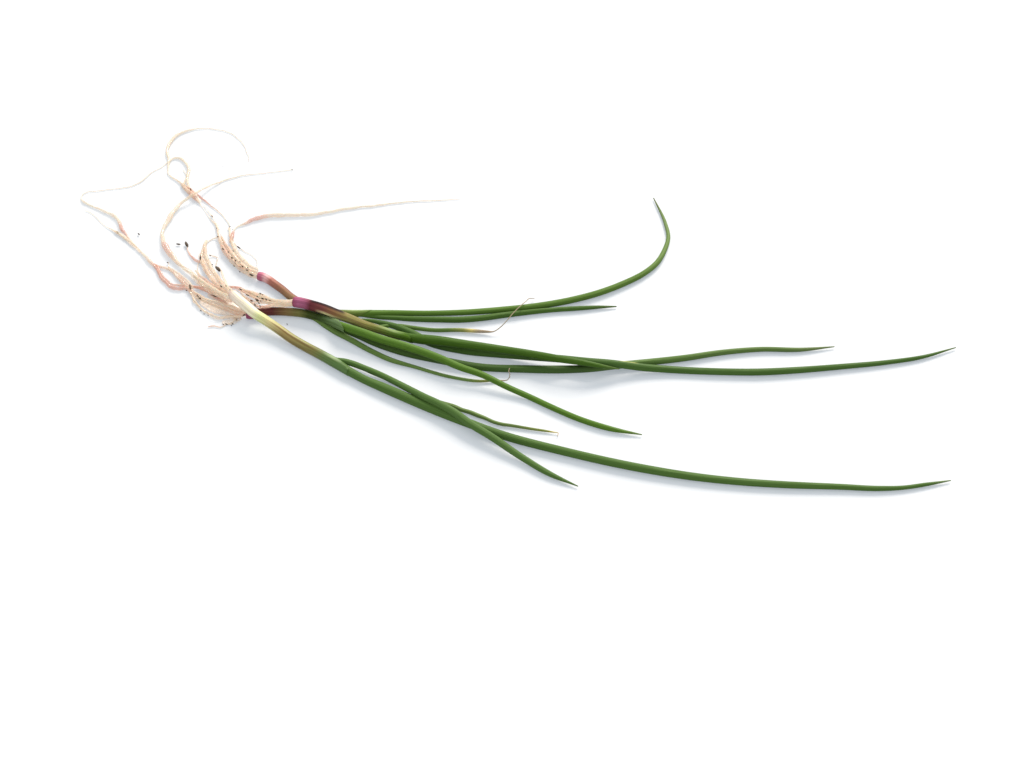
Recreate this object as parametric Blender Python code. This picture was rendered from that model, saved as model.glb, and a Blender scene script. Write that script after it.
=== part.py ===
"""Four spring onion seedlings, pulled with their roots and laid across each other on a table.

Every path below is a list of (x, y, z, radius) in millimetres along the middle of one
stem, leaf or root, from the base outwards. The table is z = 0 and the origin is the spot
where the lowest stem touches it under the crossing.
"""

import bmesh
import bpy

MM = 0.001
LEAF_SIDES = 8
STEM_SIDES = 10
ROOT_SIDES = 6
STEPS = 2
TABLE_CUT = 40.0

for old in list(bpy.data.objects):
    bpy.data.objects.remove(old, do_unlink=True)


def finish(name, colour, roughness):
    """A plain plant surface."""
    material = bpy.data.materials.new(name)
    material.use_nodes = True
    shader = material.node_tree.nodes["Principled BSDF"]
    shader.inputs["Base Color"].default_value = (*colour, 1.0)
    shader.inputs["Roughness"].default_value = roughness
    shader.inputs["Metallic"].default_value = 0.0
    return material


def strand(name, path, sides, steps=STEPS):
    """One closed, tapering strand along a path, as a mesh object."""
    curve = bpy.data.curves.new(name, "CURVE")
    curve.dimensions = "3D"
    curve.twist_mode = "Z_UP"
    curve.resolution_u = steps
    curve.bevel_depth = MM
    curve.bevel_resolution = sides // 2 - 2
    curve.use_fill_caps = True
    spline = curve.splines.new("BEZIER")
    spline.radius_interpolation = "CARDINAL"
    spline.bezier_points.add(len(path) - 1)
    for point, (x, y, z, radius) in zip(spline.bezier_points, path):
        point.co = (x * MM, y * MM, z * MM)
        point.radius = radius
        point.handle_left_type = "AUTO"
        point.handle_right_type = "AUTO"
    guide = bpy.data.objects.new(name + "_path", curve)
    bpy.context.scene.collection.objects.link(guide)
    graph = bpy.context.evaluated_depsgraph_get()
    mesh = bpy.data.meshes.new_from_object(guide.evaluated_get(graph))
    bpy.data.objects.remove(guide, do_unlink=True)
    shape = bmesh.new()
    shape.from_mesh(mesh)
    bmesh.ops.remove_doubles(shape, verts=shape.verts, dist=0.01 * MM)
    bmesh.ops.recalc_face_normals(shape, faces=shape.faces)
    for face in shape.faces:
        face.smooth = True
    shape.to_mesh(mesh)
    shape.free()
    made = bpy.data.objects.new(name, mesh)
    bpy.context.scene.collection.objects.link(made)
    return made


def apply_modifiers(made):
    """Keeps the shape that the modifiers give and takes them off."""
    graph = bpy.context.evaluated_depsgraph_get()
    mesh = bpy.data.meshes.new_from_object(made.evaluated_get(graph))
    made.modifiers.clear()
    made.data = mesh


def plain(made, material):
    made.data.materials.clear()
    made.data.materials.append(material)
    return made


def stem(name, path, material):
    """The pale foot and the sheath of one seedling, up to the mouth its leaves leave by."""
    return plain(strand(name, path, STEM_SIDES), material)


def leaf(name, path, material):
    """One tubular leaf, from its foot at the mouth of the sheath to its point."""
    return plain(strand(name, path, LEAF_SIDES), material)


def roots(name, paths, material):
    """The roots of one seedling, grown together at the neck under the stem."""
    others = bpy.data.collections.new(name + "_strands")
    bpy.context.scene.collection.children.link(others)
    neck = strand(name, paths[0], ROOT_SIDES)
    for number, path in enumerate(paths[1:]):
        branch = strand(f"{name}_{number}", path, ROOT_SIDES)
        bpy.context.scene.collection.objects.unlink(branch)
        others.objects.link(branch)
    join = neck.modifiers.new("join", "BOOLEAN")
    join.operation = "UNION"
    join.operand_type = "COLLECTION"
    join.collection = others
    join.solver = "EXACT"
    apply_modifiers(neck)
    for branch in list(others.objects):
        bpy.data.objects.remove(branch, do_unlink=True)
    bpy.data.collections.remove(others)
    return plain(neck, material)


def flatten_underside(made):
    """Trims what hangs below the table, which leaves the flat strip the piece rests on."""
    cutter_mesh = bpy.data.meshes.new("table")
    shape = bmesh.new()
    bmesh.ops.create_cube(shape, size=TABLE_CUT * MM)
    bmesh.ops.translate(shape, verts=shape.verts, vec=(0, 0, -TABLE_CUT / 2 * MM))
    shape.to_mesh(cutter_mesh)
    shape.free()
    table = bpy.data.objects.new("table", cutter_mesh)
    bpy.context.scene.collection.objects.link(table)
    trim = made.modifiers.new("trim", "BOOLEAN")
    trim.operation = "DIFFERENCE"
    trim.object = table
    trim.solver = "EXACT"
    apply_modifiers(made)
    bpy.data.objects.remove(table, do_unlink=True)


leaf_green = finish("leaf_green", (0.085, 0.17, 0.045), 0.42)
brown_sheath = finish("brown_sheath", (0.26, 0.13, 0.085), 0.4)
plum_sheath = finish("plum_sheath", (0.17, 0.075, 0.06), 0.36)
olive_sheath = finish("olive_sheath", (0.12, 0.07, 0.045), 0.38)
cream_sheath = finish("cream_sheath", (0.42, 0.38, 0.2), 0.38)
root_cream = finish("root_cream", (0.75, 0.6, 0.45), 0.5)


# The back seedling: its stem slips under the middle one and its two leaves run side by side.
stem("back_stem", [
    (-11.8, 13.2, 1, 0.9), (-11.1, 13, 0.97, 0.97), (-9.7, 12.1, 0.95, 0.95),
    (-8.2, 10.5, 0.95, 0.95), (-6, 7.9, 0.95, 0.93), (-3.8, 6, 0.95, 0.93),
    (-0.6, 3.6, 0.95, 0.93), (3, 1.6, 0.95, 0.93), (6.8, 0.5, 0.95, 0.95),
    (11.9, 0.4, 0.9, 0.88),
], brown_sheath)
leaf("back_leaf_curled", [
    (12.4, 0.5, 0.85, 0.7), (16.3, 0.8, 0.72, 0.68), (29.1, 0.7, 0.7, 0.68),
    (37.2, 1, 0.74, 0.72), (45.4, 1.8, 0.78, 0.76), (53.7, 3, 0.8, 0.8),
    (61.7, 5, 0.8, 0.8), (68.8, 7.7, 0.8, 0.78), (74.7, 11, 0.75, 0.74),
    (79, 14.1, 0.72, 0.7), (82.4, 17.9, 0.68, 0.66), (84.5, 22.6, 0.6, 0.57),
    (85.6, 27.4, 0.5, 0.48), (85.1, 32.3, 0.45, 0.42), (82.6, 41.6, 0.4, 0.15),
], leaf_green)
leaf("back_leaf_short", [
    (14.5, -0.3, 0.4, 0.25), (17, -0.4, 0.5, 0.42), (19.8, -0.5, 0.56, 0.5),
    (25.8, -1, 0.67, 0.65), (34, -1.2, 0.68, 0.66), (42.4, -0.8, 0.68, 0.66),
    (50, 0.6, 0.66, 0.64), (57, 1.6, 0.6, 0.57), (64, 2.5, 0.56, 0.54),
    (71.8, 3.6, 0.35, 0.15),
], leaf_green)
roots("back_roots", [
    # the fat bundle below the stem, running into the knot far out
    [(-12.2, 13.5, 0.95, 0.7), (-13.5, 14.8, 0.8, 0.8), (-16.8, 18.9, 0.76, 0.76),
     (-18.6, 21.4, 0.8, 0.8), (-20.1, 23.7, 0.74, 0.74), (-21.7, 27.6, 0.5, 0.45),
     (-22.6, 30.9, 0.38, 0.36), (-24.4, 33.8, 0.35, 0.34), (-27.7, 40, 0.36, 0.36),
     (-29.1, 42.5, 0.48, 0.46), (-32.3, 46.4, 0.42, 0.4)],
    # its pink neighbour, which meets it at the knot
    [(-14, 15.8, 0.8, 0.5), (-15.1, 17.8, 0.62, 0.42), (-17.6, 22.5, 0.45, 0.36),
     (-19.1, 26.5, 0.4, 0.34), (-19.4, 30.9, 0.35, 0.32), (-23.1, 37.2, 0.33, 0.32),
     (-25.7, 40, 0.33, 0.32), (-28.7, 42.9, 0.45, 0.34)],
    # the wide arc beyond the knot
    [(-31.9, 46.1, 0.42, 0.36), (-34.6, 49, 0.34, 0.32), (-36.3, 52.2, 0.33, 0.31),
     (-36.4, 55.7, 0.33, 0.31), (-37.2, 59.4, 0.33, 0.31), (-34.6, 66.1, 0.33, 0.31),
     (-29, 68, 0.33, 0.3), (-23.1, 66.8, 0.33, 0.3), (-19.8, 64.1, 0.33, 0.3),
     (-16.7, 55.7, 0.33, 0.3)],
    # the small loop inside the arc
    [(-30.1, 44.4, 0.45, 0.36), (-31.2, 48.5, 0.34, 0.31), (-31.3, 52, 0.33, 0.3),
     (-32.3, 54.9, 0.33, 0.3), (-34.2, 56.7, 0.33, 0.3), (-36.2, 55.5, 0.33, 0.3)],
    # the long root that runs back to the right
    [(-19, 27, 0.4, 0.34), (-18.7, 30.1, 0.36, 0.34), (-17.1, 31.8, 0.36, 0.34),
     (-11.9, 34.9, 0.42, 0.42), (-5.1, 35.3, 0.48, 0.44), (-0.2, 35.7, 0.44, 0.42),
     (8.4, 37.9, 0.36, 0.34), (21.8, 40.2, 0.33, 0.31), (35.7, 41.4, 0.33, 0.3)],
], root_cream)


# The middle seedling: it lies on top of the other stems, and its longest leaf crosses twice.
stem("middle_stem", [
    (-2.8, 2, 3.2, 1.2), (-1.8, 1.7, 3.3, 1.25), (1.5, 0.7, 3.35, 1.2),
    (4.6, -0.5, 3.3, 1.15), (7.9, -1.8, 2.9, 1.15), (10.9, -2.8, 2.2, 1.15),
    (13.9, -3.5, 1.5, 1.15), (18.4, -4.9, 1.2, 1.15), (21.4, -6.3, 1.15, 1.1),
], plum_sheath)
leaf("middle_leaf_top", [
    (21.9, -6.6, 1.2, 1), (24.5, -8, 1.7, 1.12), (27.5, -9.6, 2.5, 1.15),
    (31.2, -10.6, 3, 1.1), (36.7, -11.8, 3.05, 1.03), (45.4, -13.7, 3.1, 0.95),
    (53.6, -15.9, 3.5, 0.9), (59.1, -17.8, 4, 0.86), (64.8, -19, 3.9, 0.68),
    (68.9, -19.3, 3.1, 0.48), (72.5, -19.3, 2.3, 0.18),
], leaf_green)
leaf("middle_leaf_long", [
    (15, -1.3, 0.35, 0.25), (17.6, -2.3, 0.5, 0.48), (21.1, -3.7, 0.74, 0.72),
    (24.6, -5.5, 0.92, 0.9), (30.2, -9, 0.93, 0.93), (36.5, -11.4, 0.93, 0.93),
    (45.9, -13.2, 1, 0.93), (52.8, -14.5, 1.5, 0.93), (59.1, -15.8, 2.1, 0.92),
    (65.9, -17.5, 2.85, 0.9), (70, -17.8, 2.7, 0.9), (73.7, -17.9, 2.2, 0.9),
    (77.4, -17.9, 1.5, 0.9), (83.1, -18, 0.95, 0.86), (96.1, -18.7, 0.82, 0.82),
    (104.7, -18.8, 0.84, 0.84), (113.8, -18.1, 0.8, 0.78), (123.6, -16.9, 0.7, 0.68),
    (133.5, -15.5, 0.6, 0.58), (142.2, -13.6, 0.5, 0.45), (150.2, -10.4, 0.4, 0.18),
], leaf_green)
leaf("middle_leaf_withered", [
    (20, -1.9, 0.35, 0.25), (22, -2.4, 0.42, 0.38), (25, -3.5, 0.45, 0.43),
    (29.7, -4.8, 0.45, 0.43), (36.1, -4.7, 0.45, 0.42), (42.4, -5.2, 0.5, 0.38),
    (43.7, -5.3, 0.7, 0.32), (45.4, -4.8, 1.4, 0.3), (46.8, -3.6, 2.2, 0.3),
    (48.4, -1.2, 2.5, 0.3), (50, 1.3, 2.35, 0.3), (51.4, 3.7, 1.7, 0.3),
    (52.4, 5.6, 0.9, 0.3), (53.4, 6.1, 0.4, 0.3),
], leaf_green)
roots("middle_roots", [
    [(-3.2, 2.1, 3.15, 0.85), (-4.8, 2.4, 2.9, 0.78), (-7, 3.4, 2.3, 0.68),
     (-9.5, 5.3, 1.5, 0.6), (-11.9, 7.3, 0.9, 0.5), (-14.1, 8.1, 0.6, 0.42),
     (-16.7, 9.8, 0.42, 0.36), (-19.1, 10.3, 0.36, 0.32)],
    [(-4.6, 2.8, 2.9, 0.5), (-7.1, 5, 2.2, 0.42), (-9.4, 6.7, 1.5, 0.4),
     (-12, 8.2, 0.85, 0.38), (-14.2, 8.3, 0.6, 0.36)],
    [(-4.3, 1.7, 2.9, 0.5), (-5.7, 1.4, 2.75, 0.42), (-8.2, 1.2, 2.55, 0.36),
     (-10.4, 1.2, 2.5, 0.32)],
], root_cream)


# The low seedling: its stem is the one the others rest on.
low_stem = stem("low_stem", [
    (-13.9, 0, 1.1, 0.9), (-12.9, -0.2, 1, 0.98), (-10, 0.9, 0.98, 0.98),
    (-7, 1, 0.96, 0.98), (-3.5, 0.6, 0.92, 0.98), (0, 0, 0.9, 0.98),
    (2.4, -0.6, 0.92, 0.98), (4.6, -1.8, 0.96, 0.98), (6.2, -2.9, 1, 0.98),
], olive_sheath)
flatten_underside(low_stem)
leaf("low_leaf_top", [
    (7.5, -4.4, 2.3, 0.6), (9, -5.7, 2.8, 0.85), (10.9, -7, 3, 0.98),
    (13.7, -8.5, 3, 1), (17.9, -10.6, 3, 1), (22.5, -12.4, 3, 0.97),
    (27.2, -14.2, 3, 0.95), (31.8, -16.6, 3, 0.9), (36.4, -19.3, 2.9, 0.83),
    (41.3, -21.1, 2.3, 0.76), (46.8, -24, 1.4, 0.7), (52.4, -26.9, 0.75, 0.7),
    (57.5, -30.2, 0.7, 0.69), (63.4, -33.8, 0.66, 0.64), (70.5, -36.8, 0.58, 0.52),
    (77.1, -38.2, 0.4, 0.16),
], leaf_green)
leaf("low_leaf_long", [
    (6.7, -3.1, 0.85, 0.6), (8.8, -4.5, 0.85, 0.75), (13.4, -7.5, 0.9, 0.88),
    (16.4, -9.6, 0.92, 0.92), (22.5, -12.2, 0.92, 0.92), (31.7, -15, 0.92, 0.92),
    (41.3, -17.3, 0.88, 0.88), (50.6, -17.9, 0.92, 0.92), (59.1, -18.1, 0.95, 0.95),
    (66, -17.7, 0.9, 0.9), (72.8, -16.6, 0.85, 0.85), (87.8, -14.2, 0.78, 0.77),
    (96.5, -12.3, 0.7, 0.68), (105.2, -11.1, 0.6, 0.52), (114.6, -11.1, 0.5, 0.42),
    (122.3, -10.1, 0.4, 0.16),
], leaf_green)
leaf("low_leaf_withered", [
    (4.1, -3, 0.4, 0.25), (5.6, -4.3, 0.52, 0.42), (7.7, -5.9, 0.62, 0.58),
    (10.2, -7.8, 0.65, 0.62), (15.8, -11.9, 0.58, 0.58), (20.6, -14.7, 0.58, 0.58),
    (25.3, -16.5, 0.45, 0.44), (34.7, -20.1, 0.4, 0.4), (40.9, -21.3, 0.38, 0.36),
    (45.9, -21.1, 0.36, 0.34), (47, -21.3, 0.7, 0.3), (47.6, -21.1, 1.4, 0.3),
    (47.8, -19, 2.25, 0.3),
], leaf_green)
roots("low_roots", [
    # from the neck out to the far left, then back in a thin hook
    [(-14.3, 0.2, 1, 0.68), (-16.1, 1.3, 0.8, 0.72), (-18.5, 2.5, 0.66, 0.62),
     (-21, 3.7, 0.55, 0.52), (-23.5, 5, 0.5, 0.48), (-26.1, 7.3, 0.5, 0.48),
     (-27.7, 9.2, 0.5, 0.48), (-30.7, 9.9, 0.4, 0.36), (-34.5, 14.1, 0.38, 0.36),
     (-36.3, 17.1, 0.42, 0.4), (-38.8, 20.2, 0.46, 0.44), (-41.1, 23.3, 0.4, 0.38),
     (-44, 28.1, 0.38, 0.37), (-45.2, 29.8, 0.42, 0.4), (-45.9, 32.2, 0.36, 0.34),
     (-48, 35.3, 0.35, 0.33), (-52.2, 37.8, 0.33, 0.32), (-56, 40.6, 0.38, 0.36),
     (-56.6, 42.3, 0.33, 0.3), (-56, 43.7, 0.33, 0.3), (-53.3, 44.3, 0.33, 0.3),
     (-47.2, 45.4, 0.33, 0.3), (-43.2, 47.3, 0.33, 0.3), (-38, 53.3, 0.33, 0.3)],
    # the upper strand of the pink pair
    [(-27.8, 9.6, 0.5, 0.4), (-29, 10.7, 0.42, 0.38), (-30.9, 12.7, 0.4, 0.36),
     (-33.3, 15.5, 0.4, 0.36), (-35.8, 17.6, 0.42, 0.38), (-37.5, 18.6, 0.44, 0.4)],
    # the lower edge of the wet web
    [(-14.7, 0.1, 0.7, 0.5), (-17.2, -0.7, 0.45, 0.42), (-20.7, -0.3, 0.4, 0.4),
     (-23.2, 0.8, 0.4, 0.4), (-25.1, 2.7, 0.4, 0.38), (-26.5, 5, 0.4, 0.38),
     (-27.4, 8.1, 0.46, 0.4)],
    # a loose end in front
    [(-16.4, -0.6, 0.48, 0.34), (-16.9, -2, 0.36, 0.32), (-18.2, -2.7, 0.33, 0.32),
     (-19.3, -3.7, 0.33, 0.32), (-22.3, -3.4, 0.33, 0.3)],
], root_cream)


# The front seedling: its white foot lies over the low one, and its leaves reach far right.
stem("front_stem", [
    (-16.7, 4.1, 3.3, 1.15), (-15.5, 2.5, 3.4, 1.2), (-13.5, 0.3, 3.4, 1.2),
    (-11.4, -1.7, 3.3, 1.15), (-8.9, -3.9, 2.8, 1.12), (-6, -6.4, 2, 1.12),
    (-2.9, -8.4, 1.4, 1.12), (0.6, -10.7, 1.15, 1.12), (4.2, -13.5, 1.15, 1.12),
    (6.8, -15.3, 1.15, 1.12),
], cream_sheath)
leaf("front_leaf_top", [
    (8.8, -14.3, 0.75, 0.4), (10.5, -15.4, 0.8, 0.6), (13.5, -17, 0.8, 0.65),
    (17, -19.2, 1.2, 0.68), (20.5, -22.1, 1.9, 0.72), (23.9, -25, 2.6, 0.78),
    (27.5, -28, 3.1, 0.82), (31.1, -30.9, 3.3, 0.86), (34.9, -33.7, 3.2, 0.9),
    (38.8, -37.3, 3, 0.9), (43.7, -40.9, 2.4, 0.86), (50.3, -45.8, 1.1, 0.77),
    (57, -50.8, 0.65, 0.6), (62.6, -53.9, 0.4, 0.18),
], leaf_green)
leaf("front_leaf_long", [
    (7.2, -15.6, 1.15, 1.12), (10.5, -18.5, 1.12, 1.12), (18.5, -23.9, 1.12, 1.12),
    (25.6, -28.1, 1.15, 1.15), (34.9, -33.4, 1.1, 1.1), (45.7, -38.8, 1, 1),
    (59.3, -43.8, 1, 0.98), (76.4, -49, 1, 0.97), (87.3, -51.4, 0.93, 0.92),
    (98.2, -53, 0.87, 0.86), (107.3, -53.8, 0.82, 0.81), (120.5, -54.4, 0.7, 0.68),
    (128.5, -54.8, 0.62, 0.61), (133.8, -54.5, 0.55, 0.5), (139.2, -53.4, 0.46, 0.43),
    (144.5, -52.2, 0.4, 0.16),
], leaf_green)
leaf("front_leaf_withered", [
    (11.5, -14.4, 0.35, 0.25), (14.3, -16, 0.4, 0.33), (18.1, -18.2, 0.45, 0.4),
    (23.9, -22, 0.45, 0.42), (30.1, -26.3, 0.47, 0.45), (34.8, -28.9, 0.48, 0.47),
    (40, -31.8, 0.48, 0.48), (45.5, -34.6, 0.4, 0.37), (52.6, -36.4, 0.35, 0.33),
    (57.1, -37.3, 0.33, 0.3), (58.5, -37.6, 0.33, 0.3), (58.3, -38.6, 0.33, 0.3),
], leaf_green)
roots("front_roots", [
    # the straight pair that climbs to the small tangle
    [(-17, 4.7, 3.2, 0.8), (-17.6, 6.8, 2.7, 0.6), (-18.7, 9.4, 2, 0.5),
     (-20.2, 12.3, 1.3, 0.48), (-22.8, 16.5, 0.7, 0.48), (-24.1, 19.3, 0.5, 0.44),
     (-24.5, 21.8, 0.42, 0.38), (-25.2, 24.9, 0.36, 0.32)],
    [(-17.8, 5.9, 2.8, 0.5), (-20.1, 8.1, 1.9, 0.45), (-22.2, 11.7, 1, 0.45),
     (-23.9, 14.8, 0.6, 0.42), (-25.6, 18.8, 0.42, 0.38), (-25.6, 23, 0.36, 0.34),
     (-25.2, 25.1, 0.36, 0.3)],
    # the short side root with a crumb of soil at its end
    [(-25.5, 18.7, 0.42, 0.36), (-27.1, 19.7, 0.36, 0.33), (-28.3, 21.1, 0.35, 0.32),
     (-29.3, 24.4, 0.35, 0.32)],
    # the long root that swings left, then over the back seedling's knot
    [(-17.9, 5.6, 2.8, 0.5), (-20.3, 7.4, 2, 0.45), (-23.2, 10.1, 1.3, 0.42),
     (-28.9, 15.1, 0.65, 0.4), (-31.5, 18.8, 0.5, 0.42), (-34.3, 23.2, 0.5, 0.48),
     (-35.7, 26.4, 0.44, 0.42), (-35.3, 30.3, 0.4, 0.38), (-33, 37.7, 0.55, 0.34),
     (-31.3, 40.1, 1, 0.32), (-29.4, 41.4, 1.5, 0.3), (-27.9, 43, 1.45, 0.3),
     (-25.9, 45.4, 0.9, 0.3), (-23.1, 47.7, 0.45, 0.3), (-19, 49.9, 0.33, 0.3),
     (-13.6, 50.8, 0.33, 0.3), (-5.8, 52.3, 0.33, 0.3)],
], root_cream)
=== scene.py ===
import math

import bmesh
import bpy
from mathutils import Matrix, Vector, noise


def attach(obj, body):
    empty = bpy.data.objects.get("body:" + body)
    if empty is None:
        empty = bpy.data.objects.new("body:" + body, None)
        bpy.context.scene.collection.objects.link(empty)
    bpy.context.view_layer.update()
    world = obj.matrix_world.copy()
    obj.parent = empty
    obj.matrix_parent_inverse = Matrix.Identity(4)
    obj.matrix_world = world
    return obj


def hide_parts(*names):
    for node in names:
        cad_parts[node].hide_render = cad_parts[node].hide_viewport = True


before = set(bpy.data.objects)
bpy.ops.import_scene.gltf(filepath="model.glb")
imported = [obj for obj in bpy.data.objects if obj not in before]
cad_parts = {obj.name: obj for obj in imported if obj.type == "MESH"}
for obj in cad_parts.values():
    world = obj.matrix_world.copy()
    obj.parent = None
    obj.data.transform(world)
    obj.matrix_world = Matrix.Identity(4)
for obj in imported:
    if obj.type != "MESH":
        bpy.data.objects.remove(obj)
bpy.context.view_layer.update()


# The four sheaths. Each is the pale foot of a seedling and the tight wrapped sheath above
# it, a slightly oval tube with fine lengthwise ribs. The skin is moist, magenta or white at
# the foot, and turns maroon, brown and olive before the leaves leave it.

MM = 0.001
STEM_GAP = 0.35
STEM_SIDES = 40
ROUND_END = (25.0, 50.0, 72.0)
LEAST_RADIUS = 0.03
LUMP_RATE = 0.9
WANDER_RATE = 0.45
WANDER_LIFT = 0.4


def tint(red, green, blue):
    """A colour as a screen shows it, 0 to 255, as the shader takes it."""
    parts = [channel / 255 for channel in (red, green, blue)]
    return tuple(c / 12.92 if c < 0.04045 else ((c + 0.055) / 1.055) ** 2.4 for c in parts) + (1.0,)


def walk(path, gap):
    """Rows along the smooth line through a path's rows, about a gap apart."""
    rows = [Vector(row) for row in path]
    spans = [(Vector(b[:3]) - Vector(a[:3])).length for a, b in zip(rows, rows[1:])]
    slopes = [(rows[1] - rows[0]) / spans[0]]
    for i in range(1, len(rows) - 1):
        before = (rows[i] - rows[i - 1]) / spans[i - 1]
        after = (rows[i + 1] - rows[i]) / spans[i]
        slopes.append((before * spans[i] + after * spans[i - 1]) / (spans[i - 1] + spans[i]))
    slopes.append((rows[-1] - rows[-2]) / spans[-1])
    walked = []
    for i, span in enumerate(spans):
        steps = max(1, round(span / gap))
        for step in range(steps):
            t = step / steps
            walked.append(
                rows[i] * (1 + 2 * t) * (1 - t) ** 2
                + slopes[i] * span * t * (1 - t) ** 2
                + rows[i + 1] * t * t * (3 - 2 * t)
                + slopes[i + 1] * span * t * t * (t - 1)
            )
    walked.append(rows[-1])
    return walked


def new_shape():
    """An empty mesh whose points remember where on the straightened strand they are."""
    shape = bmesh.new()
    shape.verts.layers.float_vector.new("straight")
    shape.verts.layers.float.new("blush")
    return shape


def strand(
    shape, path, gap, sides, tall=1.0, ribs=0, rib_depth=0.0, lumps=0.0,
    blunt=1.0, open_end=False, wander=0.0, turn=0.0,
):
    """A tapering tube along (x, y, z, radius) rows in millimetres, or rows with a blush too."""
    tube = new_shape()
    straight = tube.verts.layers.float_vector["straight"]
    blush = tube.verts.layers.float["blush"]
    rows = walk(path, gap)
    for row in rows:
        drift = noise.noise_vector(Vector(row[:3]) * WANDER_RATE + Vector((0, 0, turn))) * wander
        row[0] += drift.x
        row[1] += drift.y
        row[2] = max(row[2] + drift.z * WANDER_LIFT, row[3]) if wander else row[2]
    stations = []
    along = 0.0
    for i, row in enumerate(rows):
        here = Vector(row[:3])
        ahead = Vector(rows[min(i + 1, len(rows) - 1)][:3])
        behind = Vector(rows[max(i - 1, 0)][:3])
        heading = (ahead - behind).normalized()
        radius = max(row[3], LEAST_RADIUS)
        radius *= 1 + lumps * noise.noise(here * LUMP_RATE)
        stations.append((here, heading, radius, along, row[4] if len(row) > 4 else 0.0))
        along += (ahead - here).length
    first, last = stations[0], stations[-1]
    rounds = [(math.sin(math.radians(a)), math.cos(math.radians(a))) for a in ROUND_END]
    foot = [
        (first[0] - first[1] * first[2] * out * blunt, first[1], first[2] * wide, 0.0, first[4])
        for out, wide in reversed(rounds)
    ]
    point = [
        (last[0] + last[1] * last[2] * out, last[1], last[2] * wide, last[3], last[4])
        for out, wide in rounds
    ]
    edges_before = None
    for here, heading, radius, along, colour in foot + stations + ([] if open_end else point):
        side = heading.cross(Vector((0, 0, 1))).normalized()
        up = side.cross(heading)
        ring = bmesh.ops.create_circle(tube, segments=sides, radius=1.0)["verts"]
        for vertex in ring:
            x, y = vertex.co.xy
            swell = radius * (1 + rib_depth * math.cos(ribs * math.atan2(y, x)))
            vertex[straight] = (x * radius, y * radius, along)
            vertex[blush] = colour
            vertex.co = here + (side * x + up * y * tall) * swell
        edges = list({edge for vertex in ring for edge in vertex.link_edges})
        if edges_before is None:
            bmesh.ops.holes_fill(tube, edges=edges)
        else:
            bmesh.ops.bridge_loops(tube, edges=edges_before + edges)
        edges_before = edges
    if not open_end:
        bmesh.ops.holes_fill(tube, edges=edges_before)
    spare = bpy.data.meshes.new("spare")
    tube.to_mesh(spare)
    tube.free()
    shape.from_mesh(spare)
    bpy.data.meshes.remove(spare)


def piece(name, shape, finish, slot, *nodes):
    """The finished piece: smooth, in metres, on the one body, in place of its nodes if it has any."""
    bmesh.ops.scale(shape, vec=(MM, MM, MM), verts=shape.verts)
    bmesh.ops.recalc_face_normals(shape, faces=shape.faces)
    for face in shape.faces:
        face.smooth = True
    mesh = bpy.data.meshes.new(name)
    shape.to_mesh(mesh)
    shape.free()
    mesh.materials.append(finish)
    made = bpy.data.objects.new(name, mesh)
    bpy.context.scene.collection.objects.link(made)
    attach(made, "root")
    if nodes:
        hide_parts(*nodes)


def node(tree, kind, feeds=None, **settings):
    """One shader node, with its settings and what feeds its sockets."""
    made = tree.nodes.new(kind)
    for key, value in settings.items():
        setattr(made, key, value)
    for socket, value in (feeds or {}).items():
        if isinstance(value, bpy.types.NodeSocket):
            tree.links.new(value, made.inputs[socket])
        else:
            made.inputs[socket].default_value = value
    return made


def maths(tree, operation, *values, clamp=False):
    """The result of one sum."""
    made = node(tree, "ShaderNodeMath", dict(enumerate(values)), operation=operation, use_clamp=clamp)
    return made.outputs[0]


def mixed(tree, factor, a, b, how="MIX"):
    """Colour a turned towards colour b."""
    feeds = {0: factor, 6: a, 7: b}
    made = node(tree, "ShaderNodeMix", feeds, data_type="RGBA", blend_type=how, clamp_factor=True)
    return made.outputs[2]


def effect(name, inputs, output):
    """An empty node group with its sockets, to be filled by the caller."""
    tree = bpy.data.node_groups.new(name, "ShaderNodeTree")
    for socket, value in inputs.items():
        kind = "NodeSocketVector" if value is None else "NodeSocketFloat"
        made = tree.interface.new_socket(socket, in_out="INPUT", socket_type=kind)
        if value is not None:
            made.default_value = value
    tree.interface.new_socket(output, in_out="OUTPUT", socket_type="NodeSocketFloat")
    return tree, tree.nodes.new("NodeGroupInput").outputs, tree.nodes.new("NodeGroupOutput").inputs


def make_fibres():
    """Fine lines that run along the strand: a noise drawn out lengthwise."""
    tree, given, result = effect(
        "fibres", {"Vector": None, "Across": 4.0, "Along": 0.2, "Low": 0.35, "High": 0.65}, "Mask"
    )
    scale = node(tree, "ShaderNodeCombineXYZ", {0: given["Across"], 1: given["Across"], 2: given["Along"]})
    both = {0: given["Vector"], 1: scale.outputs[0]}
    drawn = node(tree, "ShaderNodeVectorMath", both, operation="MULTIPLY")
    lines = node(tree, "ShaderNodeTexNoise", {"Vector": drawn.outputs[0], "Scale": 1.0, "Detail": 2.0})
    spread = node(
        tree, "ShaderNodeMapRange", {0: lines.outputs[0], 1: given["Low"], 2: given["High"], 3: 0.0, 4: 1.0}
    )
    tree.links.new(spread.outputs[0], result["Mask"])
    return tree


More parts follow.
